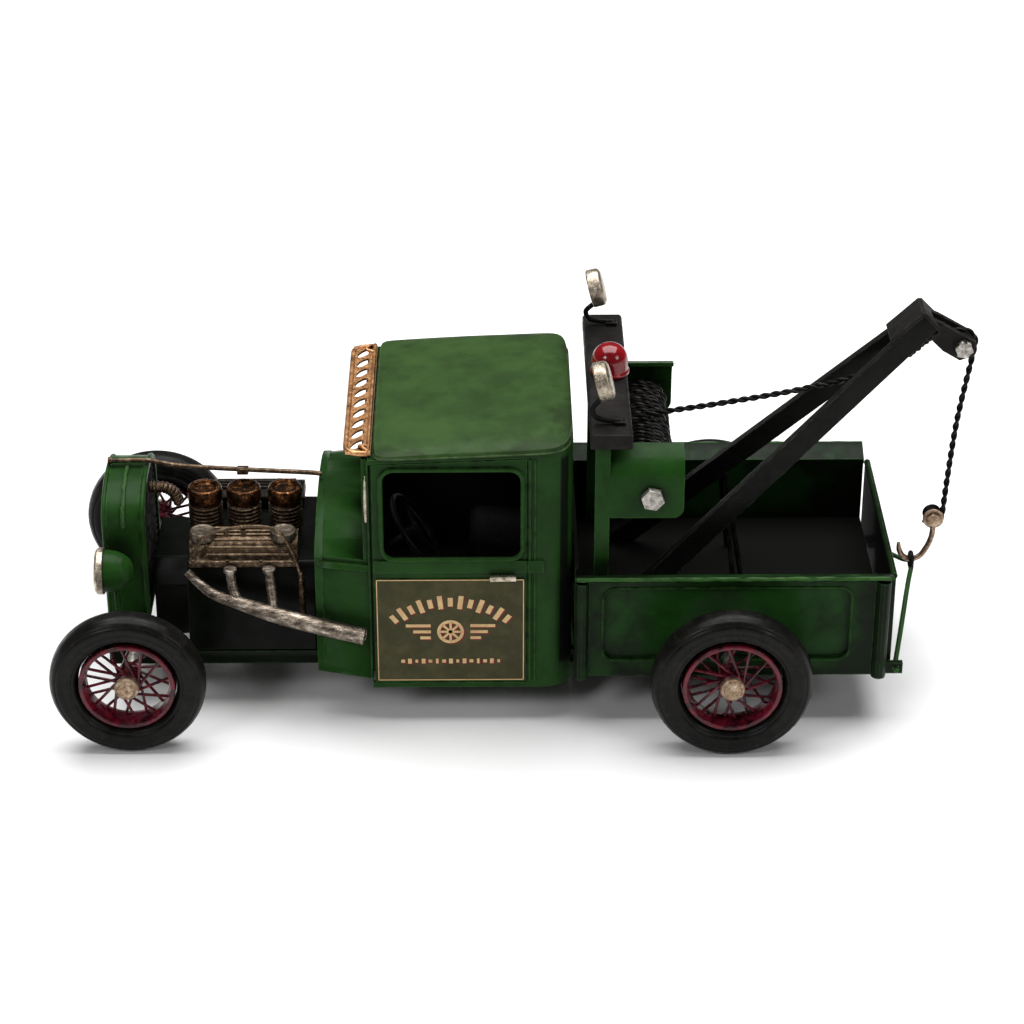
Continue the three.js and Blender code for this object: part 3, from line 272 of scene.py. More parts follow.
def crimson():
    """Dark red enamel of the wire wheels, with black patches worked into it and painted shade in its hollows.
    """
    paint = Paint("crimson_enamel")
    colour = paint.mix(paint.patches(4, 4, 0.35, 0.65), rgb(44, 4, 14), rgb(98, 10, 30))
    colour = paint.over(colour, paint.patches(2.2, 4, 0.56, 0.68), 0.8, (16, 8, 9))
    # Painted shade in the hollows, from an occlusion mask.
    colour = paint.over(colour, paint.remap(paint.recess(2.0), 0.2, 0.8), 0.8, (12, 5, 6))
    return paint.finish(
        colour, (2, 3, 0.2, 0.42), (0.9, 3), 0.06, 0.7,
        specular_ior_level=0.3, coat_weight=0.1, coat_roughness=0.15)


def lens_red():
    """Glossy red of the beacon."""
    paint = Paint("beacon_red")
    colour = paint.mix(paint.patches(5, 3, 0.3, 0.7), rgb(92, 2, 9), rgb(132, 4, 14))
    # Painted shade in the hollows, from an occlusion mask.
    colour = paint.over(colour, paint.remap(paint.recess(2.0), 0.2, 0.9), 1.0, (30, 2, 4))
    return paint.finish(
        colour, (2, 3, 0.1, 0.22), (1.5, 2), 0.03, 0.5,
        specular_ior_level=0.4, coat_weight=0.2, coat_roughness=0.05)


def leather():
    """Finely wrinkled seat cover, near-black: painted shade for the inside of the cab."""
    paint = Paint("seat_leather_shaded")
    colour = paint.mix(paint.patches(6, 4, 0.3, 0.7), rgb(4, 4, 4), rgb(9, 8, 7))
    return paint.finish(colour, (2, 4, 0.45, 0.7), (0.6, 4, 0.7), 0.15, 0.9, specular_ior_level=0.08)


def sign_paint(name, body, worn, chip=0.0):
    """Flat printed paint, rubbed in places; chip lets the plate's own colour through."""
    paint = Paint(name)
    colour = paint.mix(paint.remap(paint.noise(8, 5, 0.65), 0.35, 0.7), rgb(*body), rgb(*worn))
    if chip:
        gone = paint.remap(paint.noise(0.8, 4, 0.7), 0.62, 0.68)
        colour = paint.over(colour, gone, chip, (70, 62, 38))
    return paint.finish(colour, (3, 3, 0.42, 0.6), (1.2, 4), 0.05, 0.6, specular_ior_level=0.15)


GREEN_BODY = (26, 58, 18)
# Lighter green laid along raised edges as a painted highlight.
GREEN_HIGHLIGHT = (52, 92, 40)

# Painted shade towards the edges of a panel or the roof: (axis, middle, half length) twice, where the
# darkening starts and how deep it is.
# Insides painted near-black as painted shade: X range, half width and Z range. FORWARD takes X to the frame's
# origin.
FORWARD = SHIFT.x / MM
BED_PANEL = (("X", FORWARD - 101.5, 50.0), ("Z", 40.0, 22.0), 0.5, 0.95)
ROOF_EDGES = (("X", FORWARD - 13.0, 36.5), ("Y", 0.0, 47.0), 0.8, 0.6)
IN_CAB = ((FORWARD - 47.3, FORWARD + 19.6), 41.4, (23.0, 105.0))
IN_DOOR = ((FORWARD - 34.0, FORWARD + 19.5), 42.4, (10.0, 110.0))
IN_BED = ((FORWARD - 158.0, FORWARD - 50.8), 41.35, (20.0, 59.5))

MAT = {
    "green": enamel("green_enamel", GREEN_BODY, GREEN_HIGHLIGHT),
    "green_cab": enamel("green_enamel_cab", GREEN_BODY, GREEN_HIGHLIGHT, inside=(IN_CAB,)),
    "green_door": enamel("green_enamel_door", GREEN_BODY, GREEN_HIGHLIGHT, inside=(IN_DOOR,)),
    # Painted light: the roof's enamel is a lighter copy of the green, as if lit from above, with painted
    # shade on its rolled edges.
    "green_roof": enamel("green_enamel_roof_lit", (46, 68, 33), (76, 100, 56), 0.6, ROOF_EDGES, 0.36),
    "green_bed": enamel("green_enamel_bed", (24, 58, 18), GREEN_HIGHLIGHT, 0.9, BED_PANEL, inside=(IN_BED,)),
    # Painted shade: the bed floor gets a near-black copy of the green.
    "green_tray": enamel("green_enamel_tray_shaded", (9, 16, 7), (34, 58, 26), 0.9, inside=(IN_BED,)),
    # Painted shade: the chassis under the body gets a darker copy of the green.
    "green_frame": enamel("green_enamel_frame_shaded", (12, 20, 10), (34, 62, 30), 0.9),
    # Painted highlight: seams and wires get a lighter copy of the green.
    "green_wire": enamel("green_enamel_wire_lit", (36, 70, 28), (80, 108, 66), 0.4),
    "black": black_enamel("black_enamel", (15, 15, 14)),
    "boom": black_enamel("boom_black", (17, 18, 15), 1.8, 0.14, 0.3, (92, 88, 76)),
    "hammered": black_enamel("hammered_black", (27, 25, 23), 2.6, 0.28, 0.4, (96, 92, 84)),
    "rope": black_enamel("rope_black", (14, 13, 12), 0.8, 0.06, 0.3, (60, 56, 50)),
    "smoked": enamel("smoked_green_block", (4, 7, 3), (24, 34, 20), 0.9),
    "core": black_enamel("radiator_black", (6, 6, 6), 0.9, 0.3, 0.6),
    "tyre": rubber(),
    "crimson": crimson(),
    "cap": worn_metal(
        "worn_tan_silver", (92, 62, 44), (158, 134, 108), (214, 202, 186), 1.6, rough=(0.3, 0.6),
        metallic=0.7, bump=0.3),
    "steel": worn_metal("bare_steel", (96, 92, 86), (172, 168, 160), (226, 222, 214), 2.2),
    "silver": worn_metal(
        "lamp_silver", (92, 82, 70), (172, 160, 142), (228, 218, 202), 2.4,
        rough=(0.22, 0.5)),
    "bronze": worn_metal(
        "antique_bronze", (24, 17, 11), (74, 58, 43), (150, 130, 106), 2.2, rough=(0.22, 0.5),
        bump=0.24),
    "filler_cap": worn_metal(
        "filler_cap", (50, 43, 36), (98, 88, 76), (150, 138, 120), 2.0,
        rough=(0.3, 0.55)),
    # Painted shade: the far valve cover gets a darker copy of the bronze.
    "bronze_dark": worn_metal(
        "bronze_far_shaded", (8, 7, 6), (22, 18, 14), (52, 44, 35), 2.4, rough=(0.3, 0.6),
        bump=0.24),
    "bronze_light": worn_metal("hook_bronze", (82, 58, 42), (150, 126, 104), (206, 188, 166), 2.0),
    "copper": worn_metal(
        "smoked_copper", (112, 70, 38), (186, 136, 92), (226, 180, 130), 4.2, rough=(0.3, 0.55),
        bump=0.16),
    "copper_cap": worn_metal(
        "stack_copper", (20, 12, 7), (68, 40, 20), (186, 126, 70), 2.6,
        rough=(0.16, 0.4)),
    "pewter": worn_metal(
        "exhaust_pewter", (44, 38, 32), (118, 106, 94), (206, 196, 182), 1.5, (3.2, 1, 1), (0.2, 0.46),
        bump=0.28),
    "grille": worn_metal("grille_red", (52, 10, 14), (142, 48, 54), (196, 110, 108), 2.4, metallic=0.3),
    "lens": lens_red(),
    "leather": leather(),
    "sign": sign_paint("sign_olive", (54, 52, 30), (70, 67, 40)),
    "cream": sign_paint("sign_cream", (206, 176, 128), (188, 150, 108), 0.7),
    "sign_red": sign_paint("sign_crimson", (120, 34, 40), (96, 26, 34), 0.5),
}


# ---- Mesh building ------------------------------------------------------------------------


def resample(points, steps):
    """Points spaced evenly along a smooth line through the given ones."""
    knots = [Vector(p) for p in points]
    if len(knots) == 2:
        return [knots[0].lerp(knots[1], i / steps) for i in range(steps + 1)]
    ends = [2 * knots[0] - knots[1], *knots, 2 * knots[-1] - knots[-2]]
    fine = []
    per_span = max(8, 3 * steps // len(knots))
    for i in range(1, len(ends) - 2):
        p0, p1, p2, p3 = ends[i - 1 : i + 3]
        t0 = 0.0
        t1 = t0 + max((p1 - p0).length, 1e-6) ** 0.5
        t2 = t1 + max((p2 - p1).length, 1e-6) ** 0.5
        t3 = t2 + max((p3 - p2).length, 1e-6) ** 0.5
        for k in range(per_span):
            t = t1 + (t2 - t1) * k / per_span
            a1 = p0 * ((t1 - t) / (t1 - t0)) + p1 * ((t - t0) / (t1 - t0))
            a2 = p1 * ((t2 - t) / (t2 - t1)) + p2 * ((t - t1) / (t2 - t1))
            a3 = p2 * ((t3 - t) / (t3 - t2)) + p3 * ((t - t2) / (t3 - t2))
            b1 = a1 * ((t2 - t) / (t2 - t0)) + a2 * ((t - t0) / (t2 - t0))
            b2 = a2 * ((t3 - t) / (t3 - t1)) + a3 * ((t - t1) / (t3 - t1))
            fine.append(b1 * ((t2 - t) / (t2 - t1)) + b2 * ((t - t1) / (t2 - t1)))
    fine.append(knots[-1])
    lengths = [0.0]
    for a, b in zip(fine, fine[1:]):
        lengths.append(lengths[-1] + (b - a).length)
    line = []
    at = 0
    for i in range(steps + 1):
        want = lengths[-1] * i / steps
        while at < len(lengths) - 2 and lengths[at + 1] < want:
            at += 1
        share = (want - lengths[at]) / max(lengths[at + 1] - lengths[at], 1e-9)
        line.append(fine[at].lerp(fine[at + 1], min(1.0, share)))
    return line


def frames_along(line):
    """A normal and binormal at each point, carried along without twist."""
    tangents = []
    for i in range(len(line)):
        a, b = line[max(0, i - 1)], line[min(len(line) - 1, i + 1)]
        tangents.append((b - a).normalized())
    side = tangents[0].orthogonal().normalized()
    frames = []
    for i, tangent in enumerate(tangents):
        if i:
            turn = tangents[i - 1].rotation_difference(tangent)
            side = turn @ side
        side = (side - tangent * side.dot(tangent)).normalized()
        frames.append((side.copy(), tangent.cross(side).normalized()))
    return frames


def bridge(bm, a, b):
    """Faces between two closed rows of points; a row of one point is a tip."""
    count = max(len(a), len(b))
    for j in range(count):
        k = (j + 1) % count
        if len(a) == 1:
            bm.faces.new((a[0], b[k], b[j]))
        elif len(b) == 1:
            bm.faces.new((a[j], a[k], b[0]))
        else:
            bm.faces.new((a[j], a[k], b[k], b[j]))


def sweep(bm, line, radius, sides=12):
    """Closed round bar along a line; radius may be a function of the share of the way."""
    rings = []
    last = len(line) - 1
    for i, ((normal, binormal), centre) in enumerate(zip(frames_along(line), line)):
        r = radius(i / last) if callable(radius) else radius
        ring = []
        for j in range(sides):
            a = 2 * math.pi * j / sides
            ring.append(bm.verts.new(centre + (normal * math.cos(a) + binormal * math.sin(a)) * r))
        rings.append(ring)
    for a, b in zip(rings, rings[1:]):
        bridge(bm, a, b)
    bm.faces.new(list(reversed(rings[0])))
    bm.faces.new(rings[-1])
    return bm


def tube(bm, points, radius, sides=12, steps=None):
    """Closed round bar along a smooth line through a few points."""
    count = steps or max(2, 6 * (len(points) - 1))
    return sweep(bm, resample(points, count), radius, sides)


def strands(bm, line, pitch, offset, radius, count=2, sides=8):
    """Wires twisted round each other along a line."""
    travelled = [0.0]
    for a, b in zip(line, line[1:]):
        travelled.append(travelled[-1] + (b - a).length)
    frames = frames_along(line)
    for k in range(count):
        path = []
        for s, (normal, binormal), centre in zip(travelled, frames, line):
            a = 2 * math.pi * (s / pitch + k / count)
            path.append(centre + (normal * math.cos(a) + binormal * math.sin(a)) * offset)
        sweep(bm, path, radius, sides)
    return bm


TO_AXIS = {
    "x": Quaternion((0, 1, 0), math.pi / 2),
    "y": Quaternion((1, 0, 0), -math.pi / 2),
    "z": Quaternion(),
}


def spin(bm, profile, centre, axis="y", segments=64, turn=None):
    """Closed (radius, along) outline turned about X, Y or Z through a point."""
    rotate = TO_AXIS[axis].to_matrix()
    if turn is not None:
        rotate = turn @ rotate
    middle = Vector(centre)
    rows = []
    for radius, height in profile:
        if radius < 1e-6:
            rows.append([bm.verts.new(middle + rotate @ Vector((0, 0, height)))])
            continue
        row = []
        for j in range(segments):
            a = 2 * math.pi * j / segments
            point = Vector((radius * math.cos(a), radius * math.sin(a), height))
            row.append(bm.verts.new(middle + rotate @ point))
        rows.append(row)
    for a, b in zip(rows, rows[1:] + rows[:1]):
        if len(a) > 1 or len(b) > 1:
            bridge(bm, a, b)
    bmesh.ops.recalc_face_normals(bm, faces=bm.faces)
    return bm


def rounded(points, radius, steps=3):
    """Outline with its corners rounded by up to radius, apart from those on the axis."""
    out = []
    count = len(points)
    for i, here in enumerate(points):
        before, after = Vector(points[i - 1]), Vector(points[(i + 1) % count])
        here = Vector(here)
        if here.x < 1e-6:
            out.append(tuple(here))
            continue
        cut = min(radius, (before - here).length * 0.45, (after - here).length * 0.45)
        a = here + (before - here).normalized() * cut
        b = here + (after - here).normalized() * cut
        for k in range(steps + 1):
            t = k / steps
            out.append(tuple(a.lerp(here, t).lerp(here.lerp(b, t), t)))
    return out


def slab(bm, outline, axis, low, high):
    """Closed outline pushed along one axis; the outline's two numbers are the other two axes in order."""
    others = [i for i in range(3) if i != "xyz".index(axis)]
    rows = []
    for level in (low, high):
        row = []
        for point in outline:
            corner = [0.0, 0.0, 0.0]
            corner["xyz".index(axis)] = level
            corner[others[0]], corner[others[1]] = point[0], point[1]
            row.append(bm.verts.new(corner))
        rows.append(row)
    bridge(bm, *rows)
    bm.faces.new(list(reversed(rows[0])))
    bm.faces.new(rows[1])
    bmesh.ops.recalc_face_normals(bm, faces=bm.faces)
    return bm


def cuboid(bm, x0, x1, y0, y1, z0, z1):
    return slab(bm, [(x0, y0), (x1, y0), (x1, y1), (x0, y1)], "z", z0, z1)


def soften(bm, width, steps=2, sharper_than=28):
    """Rounds every edge that turns more than an angle."""
    limit = math.radians(sharper_than)
    edges = [e for e in bm.edges if len(e.link_faces) == 2 and e.calc_face_angle(0) > limit]
    bmesh.ops.bevel(
        bm, geom=edges, offset=width, segments=steps, profile=0.6, affect="EDGES", clamp_overlap=True)
    return bm


def hexagon(across, turn):
    """Corners of a hexagon of a given width across its flats."""
    r = across / math.sqrt(3)
    angles = [turn + math.pi * i / 3 for i in range(6)]
    return [(r * math.cos(a), r * math.sin(a)) for a in angles]


def nut(bm, across, centre, y0, y1, turn=0.2):
    """Six-sided nut on a Y axis, with softened edges."""
    x, z = centre
    body = bmesh.new()
    slab(body, [(x + a, z + b) for a, b in hexagon(across, turn)], "y", y0, y1)
    soften(body, across * 0.05, 2)
    merge(bm, body)
    return bm


def merge(bm, other):
    """Moves one mesh's parts into another."""
    holder = bpy.data.meshes.new("merge")
    other.to_mesh(holder)
    bm.from_mesh(holder)
    bpy.data.meshes.remove(holder)
    other.free()
    return bm


FLAT_WITHIN = math.radians(0.6)


def from_cad(node):
    """A CAD node's own shape in millimetres, with its flat faces joined up."""
    bm = bmesh.new()
    bm.from_mesh(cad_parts[node].data)
    bmesh.ops.transform(bm, matrix=Matrix.Scale(1 / MM, 4) @ Matrix.Translation(-SHIFT), verts=bm.verts)
    bmesh.ops.remove_doubles(bm, verts=bm.verts, dist=0.002)
    bmesh.ops.dissolve_limit(bm, angle_limit=FLAT_WITHIN, verts=bm.verts, edges=bm.edges)
    bmesh.ops.recalc_face_normals(bm, faces=bm.faces)
    return bm


def piece(name, bm, body, material, node=None, smooth=35):
    """Turns a mesh in millimetres into a finished piece that rides on a body, in a CAD node's place."""
    bmesh.ops.transform(bm, matrix=Matrix.Translation(SHIFT) @ Matrix.Scale(MM, 4), verts=bm.verts)
    mesh = bpy.data.meshes.new(name)
    bm.to_mesh(mesh)
    bm.free()
    mesh.shade_smooth()
    mesh.set_sharp_from_angle(angle=math.radians(smooth))
    mesh.materials.append(MAT[material])
    obj = bpy.data.objects.new(name, mesh)
    bpy.context.scene.collection.objects.link(obj)
    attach(obj, body)
    if node:
        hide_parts(node)


def softened(node, body, slot, material, width, steps=3):
    """A piece of a CAD node's own shape, with its edges rounded."""
    piece(node, soften(from_cad(node), width, steps), body, material, node)


def flipped(bm):
    """Mirror image across the truck's centre plane."""
    bmesh.ops.transform(bm, matrix=Matrix.Scale(-1, 4, (0, 1, 0)), verts=bm.verts)
    bmesh.ops.reverse_faces(bm, faces=bm.faces)
    return bm


def both_sides(name, build, bodies, material, node=None, smooth=35):
    """A left piece and its mirror image; bodies is one name or a (left, right) pair."""
    pair = (bodies, bodies) if isinstance(bodies, str) else bodies
    for side, body in zip(("left", "right"), pair):
        bm = build()
        if side == "right":
            flipped(bm)
        piece(f"{name}_{side}", bm, body, material, node and f"{node}_{side}", smooth)


# ---- Wheels -------------------------------------------------------------------------------


TYRE = {"radial": 0.185, "half": 5.4, "rim": 0.618}


def tyre_mesh(x, radius, plane):
    """Balloon tyre with a plain crown and four ridges on each wall."""
    half = TYRE["radial"] * radius
    middle = radius - half
    profile = []
    steps = 84
    for i in range(steps):
        a = 2 * math.pi * i / steps
        c, s = math.cos(a), math.sin(a)
        r = middle + half * math.copysign(abs(c) ** 0.78, c)
        y = TYRE["half"] * math.copysign(abs(s) ** 0.82, s)
        wall = abs(s) ** 2
        ridge = 0.0
        for at in (0.82, 0.42, -0.02, -0.5):
            ridge += math.exp(-(((c - at) / 0.06) ** 2))
        y -= math.copysign(0.3 * ridge * min(1, wall * 1.6), s)
        profile.append((min(r, radius), y))
    return spin(bmesh.new(), profile, (x, plane, radius), segments=96)


def wheel_mesh(x, radius, plane):
    """Rim, hub barrel and crossed wire spokes."""
    rim = TYRE["rim"] * radius
    well = rim - 2.4
    outline = [
        (rim, -4.4), (rim, 4.4), (rim - 1.5, 4.7), (rim - 1.9, 3.4),
        (well, 2.0), (well, -2.0), (rim - 1.9, -3.4), (rim - 1.5, -4.7),
    ]
    bm = bmesh.new()
    spin(bm, rounded(outline, 0.5), (x, plane, radius), segments=96)
    hub = [
        (2.3, -6), (4.2, -6), (4.2, -3.6), (3.2, -2.8), (3.2, 1.0),
        (4.4, 1.6), (4.4, 2.9), (3.6, 3.5), (2.3, 3.5),
    ]
    spin(bm, rounded(hub, 0.4), (x, plane, radius), segments=40)
    pairs = 12
    for i in range(pairs * 2):
        slot = math.pi * (i + 0.5) / pairs
        outer = i % 2
        lean = 0.78 if outer else -0.78
        start = 3.9
        out = well + 0.5
        hub_y = 2.3 if outer else -3.0
        rim_y = 0.8 if outer else -0.8
        a, b = slot + lean, slot
        from_hub = (x + start * math.cos(a), plane + hub_y, radius + start * math.sin(a))
        to_rim = (x + out * math.cos(b), plane + rim_y, radius + out * math.sin(b))
        tube(bm, [from_hub, to_rim], 0.52, 8, 2)
    return bm


def cap_mesh(x, radius, plane):
    """Rough turned hub cap with a stepped face."""
    base = 3.8
    steps = [(0, 0), (4.2, 0), (4.2, 1.5), (3.6, 2.0), (3.2, 2.1), (2.7, 2.9), (0, 3.0)]
    outline = rounded([(r, base + h) for r, h in steps], 0.25)
    bm = spin(bmesh.new(), outline, (x, plane, radius), segments=48)
    for vert in bm.verts:
        dent = noise.noise(vert.co * 0.9) * 0.16
        vert.co.y -= abs(dent)
    return bm


for end, size in (("front", FRONT), ("rear", REAR)):
    ride_on = (f"wheel_{end}_left", f"wheel_{end}_right")
    both_sides(f"tyre_{end}", lambda: tyre_mesh(**size), ride_on, "tyre", f"tyre_{end}")
    wheel, cap = f"wire_wheel_{end}", f"hub_cap_{end}"
    both_sides(wheel, lambda: wheel_mesh(**size), ride_on, "crimson", wheel)
    both_sides(cap, lambda: cap_mesh(**size), ride_on, "cap", cap, 50)
    reach = size["plane"] + 2.9
    shaft = bmesh.new()
    outline = rounded([(0, -reach), (2.0, -reach), (2.0, reach), (0, reach)], 0.3)
    spin(shaft, outline, (size["x"], 0, size["radius"]), segments=32)
    piece(f"{end}_axle", shaft, "truck", "steel", f"{end}_axle")


# ---- Sheet-metal body ---------------------------------------------------------------------

SHEET = (
    ("chassis_frame", "truck", "green_frame", 0.3),
    ("cab_body", "truck", "green_cab", 0.45),
    ("cowl", "truck", "green", 0.35),
    ("windshield_frame", "truck", "green", 0.45),
    ("door_left", "left_door", "green_door", 0.35),
    ("door_right", "right_door", "green_door", 0.35),
    ("bed_tray", "truck", "green_tray", 0.3),
    ("bed_side_left", "truck", "green_bed", 0.4),
    ("bed_side_right", "truck", "green_bed", 0.4),
    ("tailgate", "truck", "green_bed", 0.35),
    ("winch_frame_left", "truck", "green", 0.3),
    ("winch_frame_right", "truck", "green", 0.3),
)
for node, body, material, bevel in SHEET:
    softened(node, body, "green_enamel", material, bevel)


ROOF = {"front": 18.3, "rear": -48.6, "half": 45.0, "edge": 0.8, "crown": 2.6, "dome": 1.8, "thick": 1.0}


def roof_height(u, v):
    """Height of the roof's skin over its edge; u and v run from -1 to 1 along and across."""
    side = math.sqrt(max(0.0, 1 - abs(v) ** 8))
    end = 1 - 0.72 * u * u if u > 0 else math.sqrt(max(0.0, 1 - abs(u) ** 8))
    return ROOF["edge"] + ROOF["crown"] * side * end + ROOF["dome"] * (1 - v * v)


def roof_mesh():
    """Domed roof with crisp front corners, a drip edge all round and a hand-beaten surface."""
    around = 160
    middle = (ROOF["front"] + ROOF["rear"]) / 2
    length = (ROOF["front"] - ROOF["rear"]) / 2
    bm = bmesh.new()

    def ring(t, height=None, drop=0.0):
        row = []
        for j in range(around):
            a = 2 * math.pi * (j + 0.5) / around
            c, s = math.cos(a), math.sin(a)
            power = 20 if c > 0 else 9
            k = (abs(c) ** power + abs(s) ** power) ** (-1 / power)
            u, v = c * k * t, s * k * t
            x, y = middle + u * length, v * ROOF["half"]
            base = CAB["top"] + (CAB["front"] - x) * CAB["slope"] + GAP
            beaten = 0.3 * noise.noise(Vector((x, y, 0)) * 0.035) if t < 0.95 else 0
            rise = roof_height(u, v) if height is None else height
            row.append(bm.verts.new((x, y, base + rise + beaten - drop)))
        return row

    hem = ((0.972, 0.0), (0.99, -0.02), (1.0, 0.2), (1.0, 0.6), (0.992, 0.75))
    shoulder = (0.986, 0.98, 0.972, 0.96, 0.945, 0.92, 0.88, 0.83)
    crown = (0.76, 0.66, 0.54, 0.42, 0.3, 0.18, 0.08)
    rows = [ring(t, height) for t, height in hem] + [ring(t) for t in shoulder + crown]
    top = len(rows)
    rows += [ring(t, drop=ROOF["thick"]) for t in (0.08, 0.3, 0.6, 0.84, 0.92, 0.955)]
    bm.faces.new(rows[top - 1])
    bm.faces.new(rows[top])
    for i, (a, b) in enumerate(zip(rows, rows[1:] + rows[:1])):
        if i != top - 1:
            bridge(bm, a, b)
    bmesh.ops.recalc_face_normals(bm, faces=bm.faces)
    return bm


piece("cab_roof", roof_mesh(), "truck", "green_roof", "cab_roof", 50)


def bead(points, radius, sides=8):
    """Thin raised bead along a loop of points."""
    line = [Vector(p) for p in points]
    return sweep(bmesh.new(), line + line[:2], radius, sides)


def round_rectangle(x0, x1, z0, z1, corner, steps=8):
    """Points of a rectangle with round corners."""
    left, right = x0 + corner, x1 - corner
    low, high = z0 + corner, z1 - corner
    points = []
    for cx, cz, start in ((right, low, -90), (right, high, 0), (left, high, 90), (left, low, 180)):
        for i in range(steps + 1):
            a = math.radians(start + 90 * i / steps)
            points.append((cx + corner * math.cos(a), cz + corner * math.sin(a)))
    return points


def window_bead():
    """Rolled bead round the door's window."""
    grow = 0.5
    outline = round_rectangle(
        WINDOW["rear"] - grow, WINDOW["front"] + grow, WINDOW["low"] - 0.2, WINDOW["high"] + grow,
        WINDOW["corner"] + grow)
    return bead([(x, CAB["half"] + 0.5, z) for x, z in outline], 0.85, 10)


def panel_bead():
    """Pressed bead round the bed side's panel."""
    outline = round_rectangle(-143.9, -59.1, 26.2, 55.0, 4.4)
    return bead([(x, 44.9, z) for x, z in outline], 0.55)


both_sides("window_bead", window_bead, DOORS, "green")
both_sides("panel_bead", panel_bead, "truck", "green_bed")


def cab_seams():
    """Rolled seams beside the door and where the cowl meets the cab."""
    bm = bmesh.new()
    tube(bm, [(-34.2, 43.05, 17.2), (-34.2, 43.05, 103.6)], 0.6, 10, 30)
    tube(bm, [(-35.9, 43.0, 17.2), (-35.9, 43.0, 103.6)], 0.4, 8, 30)
    tube(bm, [(20.1, 41.7, 17.4), (20.1, 41.7, 102.6)], 0.5, 10, 30)
    return bm


both_sides("cab_seams", cab_seams, "truck", "green")


def door_jamb():
    """Folded strip behind the door's front edge, closing the gap to the cowl."""
    bm = bmesh.new()
    low, high = 20, 100
    cuboid(bm, 15.6, 20.2, 39.9, 41.1, low, high)
    cuboid(bm, 15.6, 16.6, 38.4, 41.1, low, high)
    return soften(bm, 0.25, 2)


both_sides("door_jamb", door_jamb, "truck", "green_cab")


def bare_edge():
    """Edge of the windshield frame where the enamel is knocked off to the metal."""
    line = [(20.95, 40.75, 79), (21.0, 40.8, 85), (20.9, 40.78, 91), (20.95, 40.74, 96.5)]

    def wear(t):
        return 0.35 + 0.5 * math.sin(math.pi * min(1, t + 0.05)) ** 0.5

    return tube(bmesh.new(), line, wear, 10, 40)


both_sides("bare_edge", bare_edge, "truck", "silver")


def rail_seam():
    """Uneven solder along the bed's rail."""
    front, length, y, z = -50, 106.4, 48.85, 60.6
    count = 60
    line = []
    for i in range(count):
        x = front - length * i / (count - 1)
        lift = 0.28 * noise.noise(Vector((x * 0.22, 3.1, 0)))
        sway = 0.18 * noise.noise(Vector((x * 0.4, 7.7, 0)))
        line.append(Vector((x, y + sway, z + lift)))
    return sweep(bmesh.new(), line, lambda t: 0.72 + 0.16 * noise.noise(Vector((t * 30, 0, 0))), 8)


both_sides("rail_seam", rail_seam, "truck", "green_wire")


def door_sign():
    """Flat plate on the door's lower half."""
    bm = bmesh.new()
    y0, y1 = CAB["half"] + 0.2, CAB["half"] + SIGN["proud"]
    cuboid(bm, SIGN["rear"], SIGN["front"], y0, y1, SIGN["low"], SIGN["high"])
    return soften(bm, 0.12, 2)


def ribbon(bm, points, width, y0, y1):
    """Flat strip of one width following points on the door's face."""
    line = [Vector((x, 0, z)) for x, z in points]
    rows = []
    for i, here in enumerate(line):
        along = (line[min(i + 1, len(line) - 1)] - line[max(i - 1, 0)]).normalized()
        side = Vector((-along.z, 0, along.x)) * width / 2
        row = []
        for s, y in ((-1, y0), (1, y0), (1, y1), (-1, y1)):
            row.append(bm.verts.new((here.x + s * side.x, y, here.z + s * side.z)))
        rows.append(row)
    for a, b in zip(rows, rows[1:]):
        for j in range(4):
            k = (j + 1) % 4
            bm.faces.new((a[j], b[j], b[k], a[k]))
    bm.faces.new(rows[0])
    bm.faces.new(list(reversed(rows[-1])))
    bmesh.ops.recalc_face_normals(bm, faces=bm.faces)
    return bm


def sign_ornament(dx=0.0, dz=0.0, depth=0.0):
    """Abstract ornament: an arched band of studs, a spoked roundel between bars, a dotted line."""
    bm = bmesh.new()
    face = CAB["half"] + SIGN["proud"]
    y0, y1 = face - 0.05, face + 0.12 - depth
    middle = (SIGN["front"] + SIGN["rear"]) / 2 + dx
    arch_z = 18.0 + dz
    radius = 31.0
    for i in range(13):
        a = math.radians(90 + (i - 6) * 6.4)
        lean = a - math.pi / 2
        cx, cz = middle + radius * math.cos(a), arch_z + radius * math.sin(a)
        tall = 2.6 if i % 2 else 1.7
        dx_up, dz_up = tall * math.cos(a), tall * math.sin(a)
        stud = [(cx - dx_up, cz - dz_up), (cx + dx_up, cz + dz_up)]
        ribbon(bm, stud, 1.5 + 0.2 * math.cos(lean), y0, y1)
    hub_z = 37.2 + dz
    spin(bm, [(4.6, y0), (4.6, y1), (3.5, y1), (3.5, y0)], (middle, 0, hub_z), "y", 40)
    reach = 3.8
    for i in range(4):
        a = math.pi * i / 4
        across, up = reach * math.cos(a), reach * math.sin(a)
        ribbon(bm, [(middle - across, hub_z - up), (middle + across, hub_z + up)], 0.8, y0, y1)
    for side in (-1, 1):
        for k, length in enumerate((8.5, 6.0, 3.6)):
            z = hub_z + 2.4 - 2.4 * k
            ribbon(bm, [(middle + side * 6.8, z), (middle + side * (6.8 + length), z)], 1.1, y0, y1)
    for i in range(15):
        x = middle + (i - 7) * 2.35
        z = 25.4 + dz
        half = (1.3 if i % 3 else 0.9) / 2
        ribbon(bm, [(x - half, z), (x + half, z)], 1.9 if i % 2 else 1.2, y0, y1)
    return bm


def sign_border():
    """Thin cream line just inside the plate's edge."""
    bm = bmesh.new()
    inset = 0.35
    face = CAB["half"] + SIGN["proud"]
    x0, x1 = SIGN["rear"] + inset, SIGN["front"] - inset
    z0, z1 = SIGN["low"] + inset, SIGN["high"] - inset
    corners = [(x0, z0), (x1, z0), (x1, z1), (x0, z1)]
    for i in range(4):
        ribbon(bm, [corners[i], corners[(i + 1) % 4]], 0.32, face - 0.05, face + 0.06)
    return bm


